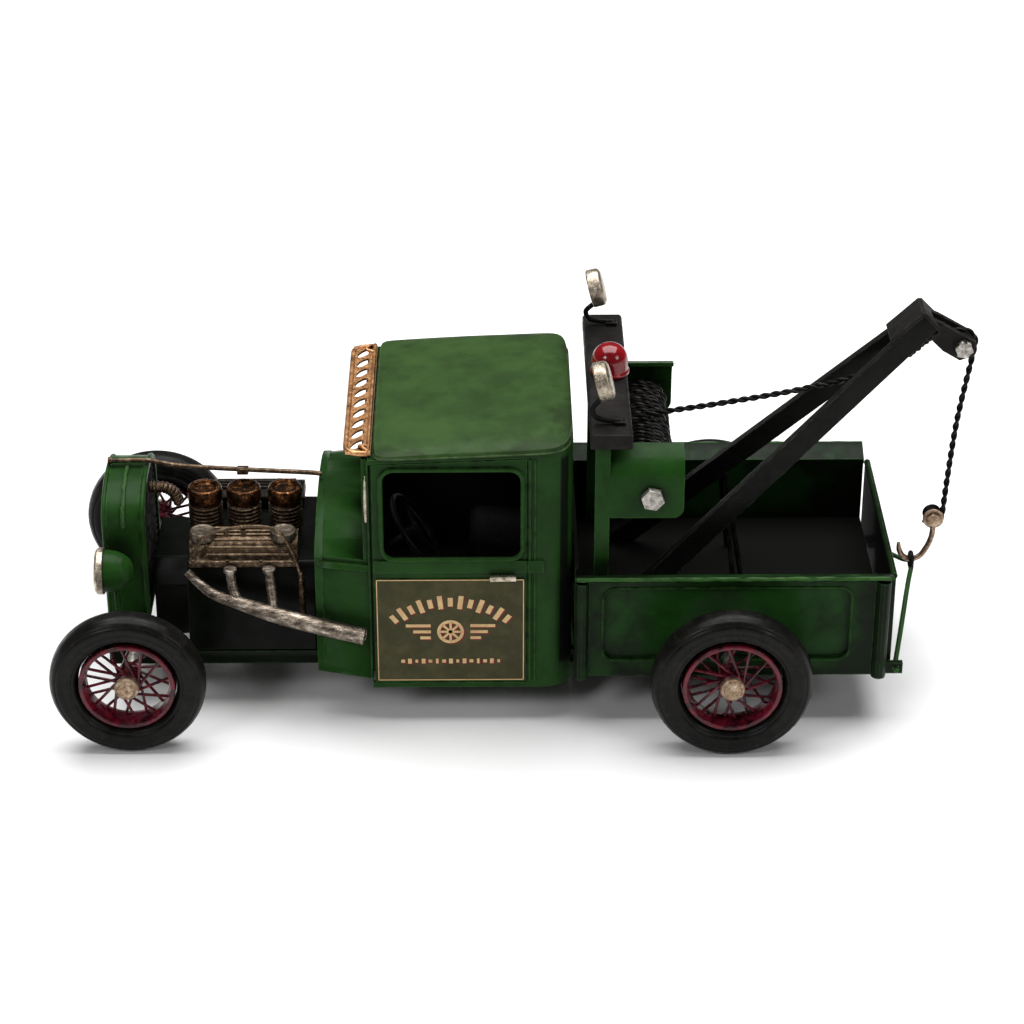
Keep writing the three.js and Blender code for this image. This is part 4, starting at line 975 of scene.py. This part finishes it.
both_sides("door_sign", door_sign, DOORS, "sign")
both_sides("sign_shadow", lambda: sign_ornament(-0.45, -0.4, 0.06), DOORS, "sign_red")
both_sides("sign_ornament", sign_ornament, DOORS, "cream")
both_sides("sign_border", sign_border, DOORS, "cream")


def door_handle():
    """Flattened bar handle on two short posts."""
    bm = bmesh.new()
    x, y, z = -24.8, 45.2, 59.2
    corners = ((-4.7, -0.9), (4.3, -1.0), (4.3, 0.9), (-4.7, 1.0))
    outline = rounded([(x + dx, z + dz) for dx, dz in corners], 0.8, 4)
    slab(bm, outline, "y", y - 0.6, y + 0.75)
    soften(bm, 0.3, 2)
    tube(bm, [(x, 43.2, z), (x, y, z)], 0.9, 10, 2)
    return bm


both_sides("door_handle", door_handle, DOORS, "silver")


def perforated(outline, holes, z0, z1):
    """Flat sheet with holes, given as loops of (x, y) points."""
    sheet = bmesh.new()
    edges = []
    for loop in (outline, *holes):
        verts = [sheet.verts.new((x, y, z0)) for x, y in loop]
        for a, b in zip(verts, verts[1:] + verts[:1]):
            edges.append(sheet.edges.new((a, b)))
    bmesh.ops.triangle_fill(sheet, use_beauty=True, use_dissolve=False, edges=edges)
    grown = bmesh.ops.extrude_face_region(sheet, geom=list(sheet.faces), use_keep_orig=True)
    lifted = [v for v in grown["geom"] if isinstance(v, bmesh.types.BMVert)]
    bmesh.ops.translate(sheet, vec=(0, 0, z1 - z0), verts=lifted)
    bmesh.ops.recalc_face_normals(sheet, faces=sheet.faces)
    return sheet


def visor_mesh():
    """Sun visor: a sheet of slanted oval holes in a bent wire frame."""
    back, lip, half = 18.9, 27.3, 41.0
    z0, z1 = 104.3, 105.1
    count, margin, slant = 10, 6.6, 1.05
    holes = []
    for i in range(count):
        cx, cy = 23.5, -half + margin + i * 2 * (half - margin) / (count - 1)
        hole = []
        for j in range(40):
            a = 2 * math.pi * j / 40
            u, v = 3.8 * math.cos(a), 1.5 * math.sin(a)
            x = cx + u * math.cos(slant) - v * math.sin(slant)
            y = cy + u * math.sin(slant) + v * math.cos(slant)
            hole.append((x, y))
        holes.append(hole)
    bm = perforated([(back, -half), (lip, 1 - half), (lip, half - 1), (back, half)], holes, z0, z1)
    edge = half - 0.9
    corner = 4.5
    frame_line = [Vector((back + 0.2, -edge, z0 + 0.3)), Vector((lip - corner, -edge, z0 + 0.3))]
    for side in (-1, 1):
        for i in range(9):
            a = math.pi / 2 * i / 8
            bend = a if side < 0 else math.pi / 2 - a
            x = lip - corner + corner * math.sin(bend)
            y = edge - corner + corner * math.cos(bend)
            frame_line.append(Vector((x, side * y, z0 + 0.4)))
    frame_line.append(Vector((back + 0.2, edge, z0 + 0.3)))
    sweep(bm, frame_line, 1.0, 14)
    tube(bm, [(back + 0.9, -half, z1), (back + 0.9, half, z1)], 0.75, 10, 24)
    for side in (-1, 1):
        loop = ((0.8, 39.8, 0), (2.6, 38.6, 1.0), (3.8, 36.6, 0.5), (1.4, 35.6, 0))
        tube(bm, [(back + x, side * y, z1 + z) for x, y, z in loop], 0.6, 10, 20)
    return bm


piece("sun_visor", visor_mesh(), "truck", "copper", "sun_visor")


seat = soften(from_cad("bench_seat"), 2.2, 5, 20)
piece("bench_seat", seat, "truck", "leather", "bench_seat")


def steering_mesh():
    """Thin-rimmed steering wheel with three spokes, a hub and its column."""
    bm = bmesh.new()
    tilt = 0.62
    centre = Vector((5, 18, 63))
    axis = Vector((math.cos(tilt), 0, -math.sin(tilt)))
    side = Vector((0, 1, 0))
    up = side.cross(axis)
    rim = []
    for i in range(50):
        a = 2 * math.pi * i / 48
        rim.append(centre + (side * math.cos(a) + up * math.sin(a)) * 13.4)
    sweep(bm, rim, 1.0, 12)
    for a in (math.pi / 2, math.pi * 1.17, math.pi * 1.83):
        end = centre + (side * math.cos(a) + up * math.sin(a)) * 13.0
        tube(bm, [centre, end], 0.85, 10, 4)
    tube(bm, [centre - axis * 1.6, centre + axis * 26], 1.5, 16, 4)
    tube(bm, [centre - axis * 1.7, centre + axis * 2.2], lambda t: 2.6 if t > 0.1 else 2.0, 20, 10)
    return bm


piece("steering_wheel", steering_mesh(), "steering", "black", "steering_wheel")


# ---- Engine -------------------------------------------------------------------------------

softened("engine_block", "truck", "smoked_block", "smoked", 0.6)


def cover_mesh(rise):
    """Finned valve cover with bolts along its foot."""
    bm = bmesh.new()
    z0 = ENGINE_TOP + GAP
    outline = [
        (13.6, 0), (28.5, 0), (28.5, 2.0), (26.8, 2.6), (26.4, 5.4),
        (25.2, 7.8), (22.8, 9.0), (17, 9.3), (13.6, 6),
    ]
    slab(bm, rounded([(y, z0 + h * rise) for y, h in outline], 0.7), "x", 45.5, 82.5)
    soften(bm, 0.5, 2)
    for y, h in ((17.2, 9.3), (19.4, 9.3), (21.6, 9.2), (23.8, 8.4), (25.6, 6.4), (26.8, 4.2)):
        tube(bm, [(48.6, y, z0 + h * rise), (76.6, y, z0 + h * rise)], 0.62, 8, 10)
    foot = z0 + 1.9 * rise

    def lumpy(t):
        return 0.7 + 0.1 * noise.noise(Vector((t * 20, 0, 0)))

    tube(bm, [(46.6, 28.0, foot), (81.6, 28.0, foot)], lumpy, 8, 40)
    bolt = rounded([(r, z0 + h * rise) for r, h in ((0, 1.6), (1.1, 1.6), (1.1, 3.0), (0, 3.1))], 0.2)
    for x in (46.6, 58, 69.5, 81.3):
        spin(bm, bolt, (x, 27.6, 0), "z", 12)
    return bm


def filler_caps():
    """The two dished filler caps that stand on the left valve cover."""
    bm = bmesh.new()
    knob = [(0, 8.2), (4.3, 8.2), (4.5, 9.4), (4.5, 11.0), (4.0, 11.6), (3.4, 11.2), (0, 11.0)]
    for x in (50.4, 78.2):
        spin(bm, [(r, h + ENGINE_TOP + GAP) for r, h in rounded(knob, 0.3)], (x, 22, 0), "z", 48)
    return bm


piece("valve_cover_left", cover_mesh(1.0), "truck", "bronze", "valve_cover_left")
far_cover = flipped(cover_mesh(0.7))
piece("valve_cover_right", far_cover, "truck", "bronze_dark", "valve_cover_right")
piece("filler_caps", filler_caps(), "truck", "filler_cap")


def stack_body(x):
    """Ribbed barrel of an intake stack."""
    z0, top = ENGINE_TOP + 2.3, STACK_TOP
    outline = [(0, z0), (5.3, z0)]
    for i in range(7):
        base = z0 + 0.8 + i * 1.42
        for step in range(8):
            a = math.pi * step / 8
            outline.append((5.1 + 0.9 * math.sin(a), base + 1.3 * step / 8))
    outline += [(5.1, top - 5.9), (0, top - 5.9)]
    return spin(bmesh.new(), outline, (x, 4, 0), "z", 48)


def stack_cap(x):
    """Rolled copper top with a sunken face and a small tab."""
    profile = [
        (0, -5.8), (5.9, -5.8), (6.05, -1.5), (5.7, -0.4), (5.0, 0), (4.2, -0.5), (3.6, -1.3), (0, -1.4),
    ]
    outline = rounded([(r, STACK_TOP + h) for r, h in profile], 0.5)
    bm = spin(bmesh.new(), outline, (x, 4, 0), "z", 48)
    tube(bm, [(x - 4.2, 4.4, STACK_TOP - 0.9), (x - 5.4, 5.2, STACK_TOP - 1.4)], 0.6, 8, 3)
    return bm


for where, x in (("front", 78.5), ("middle", 65.0), ("rear", 50.6)):
    stack = f"intake_stack_{where}"
    piece(stack, stack_body(x), "truck", "bronze", stack, 60)
    piece(f"intake_cap_{where}", stack_cap(x), "truck", "copper_cap", smooth=50)


def exhaust_mesh():
    """Swept exhaust with two downpipes and lumpy welds."""
    bm = bmesh.new()
    route = [
        (83.2, 31, 54), (79.6, 31.8, 50.2), (74.5, 33.2, 46.6), (65, 35.6, 44),
        (50, 39.8, 41), (36, 43.4, 39), (22.3, 46.2, 37),
    ]

    def swell(t):
        lump = 0.1 * noise.noise(Vector((t * 26, 1.3, 0))) + 0.05 * noise.noise(Vector((t * 70, 5, 0)))
        return 1.3 + 1.6 * min(1, t / 0.5) + lump

    line = resample(route, 90)
    sweep(bm, line[:-1], swell, 20)
    mouth = line[-1] - line[-2]
    axis = Vector((1, 0, 0)).rotation_difference(mouth.normalized()).to_matrix()
    lip = rounded([(2.0, -3.2), (2.85, -3.2), (3.0, 0.2), (2.1, 0.3)], 0.25)
    spin(bm, lip, line[-1], "x", 28, axis)
    for x, foot in ((68.5, (66, 35, 44.4)), (55.2, (53.4, 38.6, 41.9))):
        tube(bm, [(x, 31.2, 55.2), (x - 0.6, 33, 50), foot], lambda t: 1.7 + 1.2 * max(0, t - 0.75), 14, 16)
        spin(bm, rounded([(0, 54.2), (2.3, 54.2), (2.3, 55.5), (0, 55.5)], 0.3), (x, 31.2, 0), "z", 20)
    return bm


both_sides("exhaust", exhaust_mesh, "truck", "pewter", "exhaust")


def ring(x, y, z, radius, steps):
    """Points round a circle that faces forward, with the first two repeated to close it."""
    angles = [2 * math.pi * i / steps for i in range(steps + 2)]
    return [Vector((x, y + radius * math.cos(a), z + radius * math.sin(a))) for a in angles]


def fuel_mesh():
    """Thin fuel line over the valve cover, with its coupling, a thicker foot and two clips."""
    bm = bmesh.new()
    route = [
        (81, 29.9, 60), (77, 29.2, 66.5), (66, 28.6, 70), (52.5, 28.6, 69), (47, 30, 61), (44.2, 31.4, 52),
    ]
    tube(bm, route, 0.62, 10, 60)
    tube(bm, [(44.2, 31.4, 52), (43.8, 33.4, 38.6)], lambda t: 1.1 + 0.06 * math.sin(t * 40), 12, 24)
    sweep(bm, ring(44.2, 31.4, 51.8, 1.5, 20), 0.6, 8)
    for x in (69.5, 63.6):
        tube(bm, [(x, 28.6, 69.4), (x, 27.6, 66.4)], 0.9, 8, 3)
    return bm


piece("fuel_line", fuel_mesh(), "truck", "bronze", "fuel_line")


# ---- Radiator and lamps -------------------------------------------------------------------

RADIATOR = {"rear": 98.0, "front": 113.0, "half": 21.0, "low": 29.5, "shoulder": 66.0, "top": 78.0}


def radiator_outline(margin, steps=36):
    """Arched outline of the radiator, drawn in by a margin."""
    half = RADIATOR["half"] - margin
    shoulder = RADIATOR["shoulder"] - margin * 0.5
    up = RADIATOR["top"] - shoulder - margin * 0.9
    points = [(-half, RADIATOR["low"] + margin), (half, RADIATOR["low"] + margin)]
    for i in range(steps + 1):
        a = math.pi * i / steps
        points.append((half * math.cos(a), shoulder + up * math.sin(a) ** 0.8))
    return points


def shell_mesh():
    """Radiator shell: an arched band with rolled front and rear edges."""
    bm = bmesh.new()
    outer = radiator_outline(0)
    inner = radiator_outline(2)
    rear, front = RADIATOR["rear"], RADIATOR["front"]
    rows = []
    for x, outline in ((rear, outer), (front, outer), (front, inner), (rear, inner)):
        rows.append([bm.verts.new((x, y, z)) for y, z in outline])
    for a, b in zip(rows, rows[1:] + rows[:1]):
        bridge(bm, a, b)
    bmesh.ops.recalc_face_normals(bm, faces=bm.faces)
    soften(bm, 0.5, 3, 40)
    arch = radiator_outline(0.2)[1:] + [(-RADIATOR["half"] + 0.2, RADIATOR["low"] + 0.4)]
    for x, r in ((rear + 0.9, 1.0), (front - 0.9, 0.8)):
        sweep(bm, [Vector((x, y, z)) for y, z in arch], r, 10)
    return bm


def shell_seam():
    """Uneven seam over the shell's left shoulder and crown."""
    line = []
    for y, z in radiator_outline(-0.15):
        if z > 60 and y > -4:
            line.append(Vector((105.5 + 0.5 * noise.noise(Vector((y, z, 2))), y, z)))
    return sweep(bmesh.new(), line, lambda t: 0.75 + 0.3 * noise.noise(Vector((t * 14, 0, 0))), 8)


piece("radiator_shell", shell_mesh(), "truck", "green", "radiator_shell")
piece("radiator_seam", shell_seam(), "truck", "green_wire")


def core_mesh():
    """Radiator core: a block with rows of shallow fins."""
    bm = soften(from_cad("radiator_core"), 0.3, 2)
    for i in range(15):
        z = 35 + i * 2.6
        above = max(0, z - RADIATOR["shoulder"])
        half = 17.8 * math.sqrt(max(0.1, 1 - (above / 11) ** 2))
        for x in (RADIATOR["rear"] + 0.9, RADIATOR["rear"] + 8.0):
            tube(bm, [(x, -half, z), (x, half, z)], 0.42, 6, 2)
    return bm


piece("radiator_core", core_mesh(), "truck", "core", "radiator_core")


def grille_mesh():
    """Grille plate with its upright bars, shorter towards the sides."""
    bm = soften(from_cad("grille"), 0.25, 2)
    for i in range(-5, 6):
        y = i * 3.2
        x = RADIATOR["front"] - 2.3
        tube(bm, [(x, y, 34.5), (x, y, 68.5 - abs(i))], 0.62, 8, 8)
    return bm


piece("grille", grille_mesh(), "truck", "grille", "grille")


def hose_mesh():
    """Ribbed hose from the radiator down to the engine."""
    route = [(97.6, 6, 73.4), (93, 6, 73.6), (89.4, 5.4, 71.4), (87.3, 5, 66.8)]
    return tube(bmesh.new(), route, lambda t: 1.75 + 0.38 * abs(math.sin(t * math.pi * 11)), 16, 160)


piece("radiator_hose", hose_mesh(), "truck", "bronze", "radiator_hose")


def stay_mesh():
    """Stay rod from the radiator's crown to the cowl, with its clip and end."""
    bm = bmesh.new()
    route = [
        (112, -1.4, 80.1), (98, -1.4, 80.1), (94, -1.3, 79.3), (88, -1.2, 78.2),
        (65, -1, 76.6), (41, -0.6, 75.4), (37.8, -0.4, 75.1),
    ]
    tube(bm, route, 0.85, 10, 80)
    clip = bmesh.new()
    cuboid(clip, 63.4, 67.4, -2.6, 0.6, 75.2, 77.4)
    merge(bm, soften(clip, 0.4, 2))
    tube(bm, [(110.8, -1.4, 80.2), (112.2, -1.4, 80.2)], 1.3, 12, 2)
    return bm


piece("stay_rod", stay_mesh(), "truck", "bronze", "stay_rod")


LAMP = (101.6, 30, 54)


def headlight_shell():
    """Bowl of a headlight and its folded bracket."""
    outline = [
        (0, 0), (2.2, 0.3), (4.2, 1.4), (5.8, 3.4), (6.8, 5.8),
        (7.3, 8.4), (7.4, 10.4), (6.6, 10.8), (0, 10.8),
    ]
    bm = spin(bmesh.new(), rounded(outline, 0.5), LAMP, "x", 56)
    bracket = bmesh.new()
    cuboid(bracket, 107, 108.7, 28.4, 31.4, 29.6, 49)
    cuboid(bracket, 107, 111.3, 28.4, 31.4, 29.5, 31)
    return merge(bm, soften(bracket, 0.3, 2))


def headlight_rim():
    """Turned ring round the glass."""
    outline = [(7.2, 10.0), (8.1, 10.1), (8.1, 12.2), (7.3, 13.0), (6.5, 12.8), (6.4, 11.6), (7.0, 11.2)]
    return spin(bmesh.new(), rounded(outline, 0.3), LAMP, "x", 56)


def headlight_glass():
    """Shallow dome of the silvered glass."""
    outline = [(0, 10.6), (6.6, 10.6), (6.6, 11.8), (5.0, 12.1), (2.6, 12.35), (0, 12.4)]
    return spin(bmesh.new(), rounded(outline, 0.3), LAMP, "x", 48)


both_sides("headlight", headlight_shell, "truck", "green", "headlight")
both_sides("headlight_rim", headlight_rim, "truck", "silver")
both_sides("headlight_glass", headlight_glass, "truck", "silver")


# ---- Winch, bar, lamps --------------------------------------------------------------------


def spool_mesh():
    """Bare spool under the wound wire."""
    reach = DRUM["reach"]
    half = [(6.6, reach), (6.2, reach + 0.4), (6.2, reach + 2.7), (2.3, reach + 2.7)]
    outline = [(r, -y) for r, y in reversed(half)] + half
    return spin(bmesh.new(), rounded(outline, 0.3), (DRUM["x"], 0, DRUM["z"]), "y", 40)


def coil_mesh():
    """Two-strand twisted wire wound along the spool."""
    bm = bmesh.new()
    reach = DRUM["reach"] - 0.9
    turns = 25
    steps = turns * 72
    line = []
    for i in range(steps + 1):
        t = i / steps
        a = 2 * math.pi * turns * t
        swell = 0.25 * noise.noise(Vector((t * 9, 0.5, 0)))
        r = DRUM["coil"] - 1.25 + swell
        y = -reach + 2 * reach * t + 0.35 * noise.noise(Vector((t * 40, 3, 0)))
        line.append(Vector((DRUM["x"] + r * math.cos(a), y, DRUM["z"] + r * math.sin(a))))
    return strands(bm, line, 7.4, 0.56, 0.62, 2, 6)


piece("winch_spool", spool_mesh(), "drum", "black", "winch_drum")
piece("winch_coil", coil_mesh(), "drum", "rope")


def winch_bolt_mesh():
    """Threaded bolt through the drum, with a nut outside each plate."""
    bm = bmesh.new()
    x, z = DRUM["x"], DRUM["z"]
    tube(bm, [(x, -43, z), (x, 43, z)], lambda t: 2.0 - 0.12 * (math.sin(t * 520) > 0), 16, 240)
    for side in (-1, 1):
        nut(bm, 7, (x, z), side * 40.3, side * 43.1)
    return bm


piece("winch_bolt", winch_bolt_mesh(), "truck", "steel", "winch_bolt")
softened("light_bar", "truck", "black_enamel", "hammered", 0.5)


def beacon_mesh():
    """Round-topped beacon on a low flange."""
    z0 = BAR["high"] + GAP
    outline = [(0, 0), (6.7, 0), (6.7, 1.1), (6.2, 1.5), (6.2, 4.8)]
    for i in range(1, 12):
        a = math.pi / 2 * i / 12
        outline.append((6.2 * math.cos(a), 4.8 + 6.0 * math.sin(a)))
    outline.append((0, 10.8))
    return spin(bmesh.new(), [(r, z0 + h) for r, h in rounded(outline, 0.35)], (-62, 0, 0), "z", 64)


piece("beacon", beacon_mesh(), "truck", "lens", "beacon", 50)


def lamp_disc():
    """Drum-shaped spot lamp with a flat rimmed face, tipped forward."""
    outline = [
        (0, -2.8), (5.2, -2.6), (6.4, -1.9), (6.7, -0.9), (6.7, 2.2),
        (6.2, 2.6), (5.7, 2.2), (5.4, 1.7), (0, 2.1),
    ]
    lean = Matrix.Rotation(0.26, 3, "Y")
    return spin(bmesh.new(), rounded(outline, 0.35), (-58.5, 36.5, 129.4), "x", 48, lean)


def lamp_stalk():
    """Hooked wire that carries a spot lamp, on a small foot."""
    base = BAR["high"] + GAP
    hook = (
        (-64.5, 38, 0.9), (-59.5, 38, 1.1), (-56, 37.9, 2.2),
        (-54.9, 37.6, 5), (-56.6, 37, 7.4), (-59.4, 36.6, 9.6),
    )
    bm = tube(bmesh.new(), [(x, y, base + z) for x, y, z in hook], 0.9, 12, 40)
    foot = bmesh.new()
    cuboid(foot, -66, -62, 36.4, 39.6, base, base + 1)
    return merge(bm, soften(foot, 0.3, 2))


both_sides("spot_lamp", lamp_disc, "truck", "silver", "spot_lamp")
both_sides("lamp_stalk", lamp_stalk, "truck", "black")


# ---- Boom, rope and hook ------------------------------------------------------------------


def boom_weld():
    """Rows of lumpy weld where the head sits on the beams."""
    bm = bmesh.new()
    count = 7
    for i in range(count):
        share = i / (count - 1)
        lump = Vector((-163.5 - 8.0 * share, 0, 123.4 + 6.6 * share))
        for side in (-1, 1):
            ball = bmesh.new()
            bmesh.ops.create_icosphere(ball, subdivisions=3, radius=1.5)
            for vert in ball.verts:
                vert.co *= 1 + 0.25 * noise.noise(vert.co * 1.1 + Vector((i * 3.7, side, 0)))
            out = Vector((0, side * (4.4 - 1.2 * share), 0))
            bmesh.ops.translate(ball, vec=lump + out, verts=ball.verts)
            merge(bm, ball)
    return bm


def tip_nuts():
    """Nuts on both ends of the tip sheave's pin."""
    bm = bmesh.new()
    for side in (-1, 1):
        nut(bm, 5.6, (SHEAVE["x"], SHEAVE["z"]), side * 4.7, side * 6.65)
    return bm


def boom_mesh():
    """Left boom beam with rounded edges."""
    return soften(from_cad("boom_left"), 0.8, 4)


both_sides("boom", boom_mesh, "truck", "boom", "boom")
softened("boom_head", "truck", "black_enamel", "hammered", 0.9, 4)
piece("boom_weld", boom_weld(), "truck", "boom")
piece("tip_nuts", tip_nuts(), "truck", "steel")


def sheave_mesh(size, bore, half):
    """Grooved wheel for the rope."""
    r, root = size["radius"], size["root"]
    side = [(root, half * 0.4), (r, half * 0.8), (r, half), (bore, half)]
    outline = [(a, -y) for a, y in reversed(side)] + side
    return spin(bmesh.new(), rounded(outline, 0.2), (size["x"], 0, size["z"]), "y", 40)


piece("tip_sheave", sheave_mesh(SHEAVE, 1.8, 2.1), "boom_sheave", "black", "tip_sheave")
piece("block_sheave", sheave_mesh(BLOCK, 1.5, 1.9), "hook_sheave", "black", "block_sheave")


def arc(size, radius, start, stop, steps):
    """Points on a circle round a drum's or sheave's axis."""
    points = []
    for i in range(steps + 1):
        a = start + (stop - start) * i / steps
        points.append((size["x"] + radius * math.cos(a), 0, size["z"] + radius * math.sin(a)))
    return points


def rope_line(steps):
    """Middle of the rope: off the drum, over the tip, down and round the hook's block."""
    over_tip = SHEAVE["root"] + GAP + ROPE_RADIUS
    over_block = BLOCK["root"] + GAP + ROPE_RADIUS
    over_drum = DRUM["coil"] + GAP + ROPE_RADIUS
    route = [
        *arc(DRUM, over_drum, 1.0, 1.35, 1),
        (-100, 0, 102.2), (-128, 0, 107.6), (-146, 0, 112.6), (-160, 0, 121.2), (-171.5, 0, 128),
        *arc(SHEAVE, over_tip, 1.75, 3.27, 5),
        (-182.4, 0, 94),
        *arc(BLOCK, over_block, 2.95, 5.6, 6),
    ]
    return resample(route, steps)


rope = strands(bmesh.new(), rope_line(900), 7.4, 0.54, 0.58, 2, 10)
piece("winch_rope", rope, "truck", "rope", "winch_rope")


def hook_mesh():
    """Hook block's pin and cheeks, its nut and the bent hook below."""
    bm = bmesh.new()
    x, z = BLOCK["x"], BLOCK["z"]
    tube(bm, [(x, -3.1, z), (x, 4.4, z)], 1.2, 16, 4)
    spin(bm, rounded([(1.2, 2.3), (3.7, 2.3), (3.7, 3.15), (1.2, 3.15)], 0.25), (x, 0, z), "y", 40)
    spin(bm, rounded([(0, -3.0), (2.2, -3.0), (2.2, -2.25), (0, -2.25)], 0.25), (x, 0, z), "y", 32)
    nut(bm, 4.6, (x, z), 3.1, 4.8, 0.4)
    route = [
        (x, 2.75, z - 1), (-176.6, 2.9, 52.4), (-176.2, 1.6, 48.4), (-175.2, 0.3, 44.6), (-173.2, 0, 41.2),
        (-170.2, 0, 39.9), (-167.2, 0, 41.2), (-165.8, 0, 43.8), (-165.4, 0, 46.6),
    ]
    tube(bm, route, lambda t: 1.0 if t < 0.9 else 1.0 - (t - 0.9) * 4, 14, 70)
    return bm


piece("hook", hook_mesh(), "truck", "bronze_light", "hook")


def tow_legs():
    """Wire legs from the ring down to the eyes at the bed's rear corners."""
    bm = bmesh.new()
    x, z = EYE["x"], EYE["z"]
    for side in (-1, 1):
        top = (APEX["x"], side * 2.4, APEX["z"] - 1.4)
        tube(bm, [top, (-168.6, side * 8, 35.2), (-164.4, side * 26, 28.2), (x, side * 41.4, z)], 0.9, 12, 40)
        tube(bm, [(x, side * 40.9, z), (x, side * 45.8, z)], 0.9, 12, 4)
    return bm


tow_ring = sweep(bmesh.new(), ring(APEX["x"], 0, APEX["z"], 2.7, 32), 0.82, 10)
piece("tow_frame", tow_legs(), "towing_frame", "green_wire", "tow_frame")
piece("tow_ring", tow_ring, "towing_frame", "black")


# ---- Camera, floor and light --------------------------------------------------------------

# The focal length is given in widths of the sensor.
CAMERA = {"at": (-20.341, 909.641, 569.677), "pitch": 0.511, "yaw": 0.009, "focal": 2.896289}
SENSOR = 36.0

camera_data = bpy.data.cameras.new("camera")
camera_data.sensor_width = SENSOR
camera_data.lens = CAMERA["focal"] * SENSOR
camera = bpy.data.objects.new("camera", camera_data)
bpy.context.scene.collection.objects.link(camera)
pitch, yaw = CAMERA["pitch"], CAMERA["yaw"]
level = math.cos(pitch)
forward = Vector((-math.sin(yaw) * level, -math.cos(yaw) * level, -math.sin(pitch)))
camera.location = place(CAMERA["at"])
camera.rotation_mode = "QUATERNION"
camera.rotation_quaternion = forward.to_track_quat("-Z", "Y")
bpy.context.scene.camera = camera


def floor():
    """Wide pale floor under the truck."""
    bm = bmesh.new()
    reach = 4.0
    around = ((-1, -1), (1, -1), (1, 1), (-1, 1))
    bm.faces.new([bm.verts.new((x * reach, y * reach, 0)) for x, y in around])
    mesh = bpy.data.meshes.new("floor")
    bm.to_mesh(mesh)
    bm.free()
    paint = Paint("pale_floor")
    cloud = paint.remap(paint.noise(220, 3), 0.3, 0.7)
    tone = paint.mix(cloud, (0.86, 0.86, 0.86, 1), (0.88, 0.88, 0.88, 1))
    paint.plug(tone, "Base Color")
    paint.set(roughness=0.9, specular_ior_level=0.1)
    mesh.materials.append(paint.material)
    obj = bpy.data.objects.new("floor", mesh)
    bpy.context.scene.collection.objects.link(obj)


floor()
LOOK_AT = Vector((0, 0, 0.05))


def area_light(name, at, size, power, height=None):
    """Soft light aimed at the truck; places and sizes are the frame's metres."""
    data = bpy.data.lights.new(name, "AREA")
    data.shape = "RECTANGLE"
    data.size = size
    data.size_y = height or size
    data.energy = power
    light = bpy.data.objects.new(name, data)
    light.location = at
    light.rotation_mode = "QUATERNION"
    light.rotation_quaternion = (LOOK_AT - Vector(at)).to_track_quat("-Z", "Y")
    bpy.context.scene.collection.objects.link(light)


area_light("overhead", (0.0, -0.3, 1.6), 2.0, 52, 1.5)
area_light("key_front_left", (1.0, 1.2, 1.2), 0.5, 7.5)
area_light("fill_rear_left", (-1.2, 0.9, 0.9), 0.5, 5)
world = bpy.data.worlds.new("studio")
world.use_nodes = True
sky = world.node_tree.nodes["Background"]
sky.inputs["Color"].default_value = (1, 1, 1, 1)
sky.inputs["Strength"].default_value = 0.12
bpy.context.scene.world = world
bpy.context.scene.view_settings.view_transform = "Standard"

bpy.context.view_layer.update()


def corners(box):
    return [[float(v) for v in corner] for corner in box]
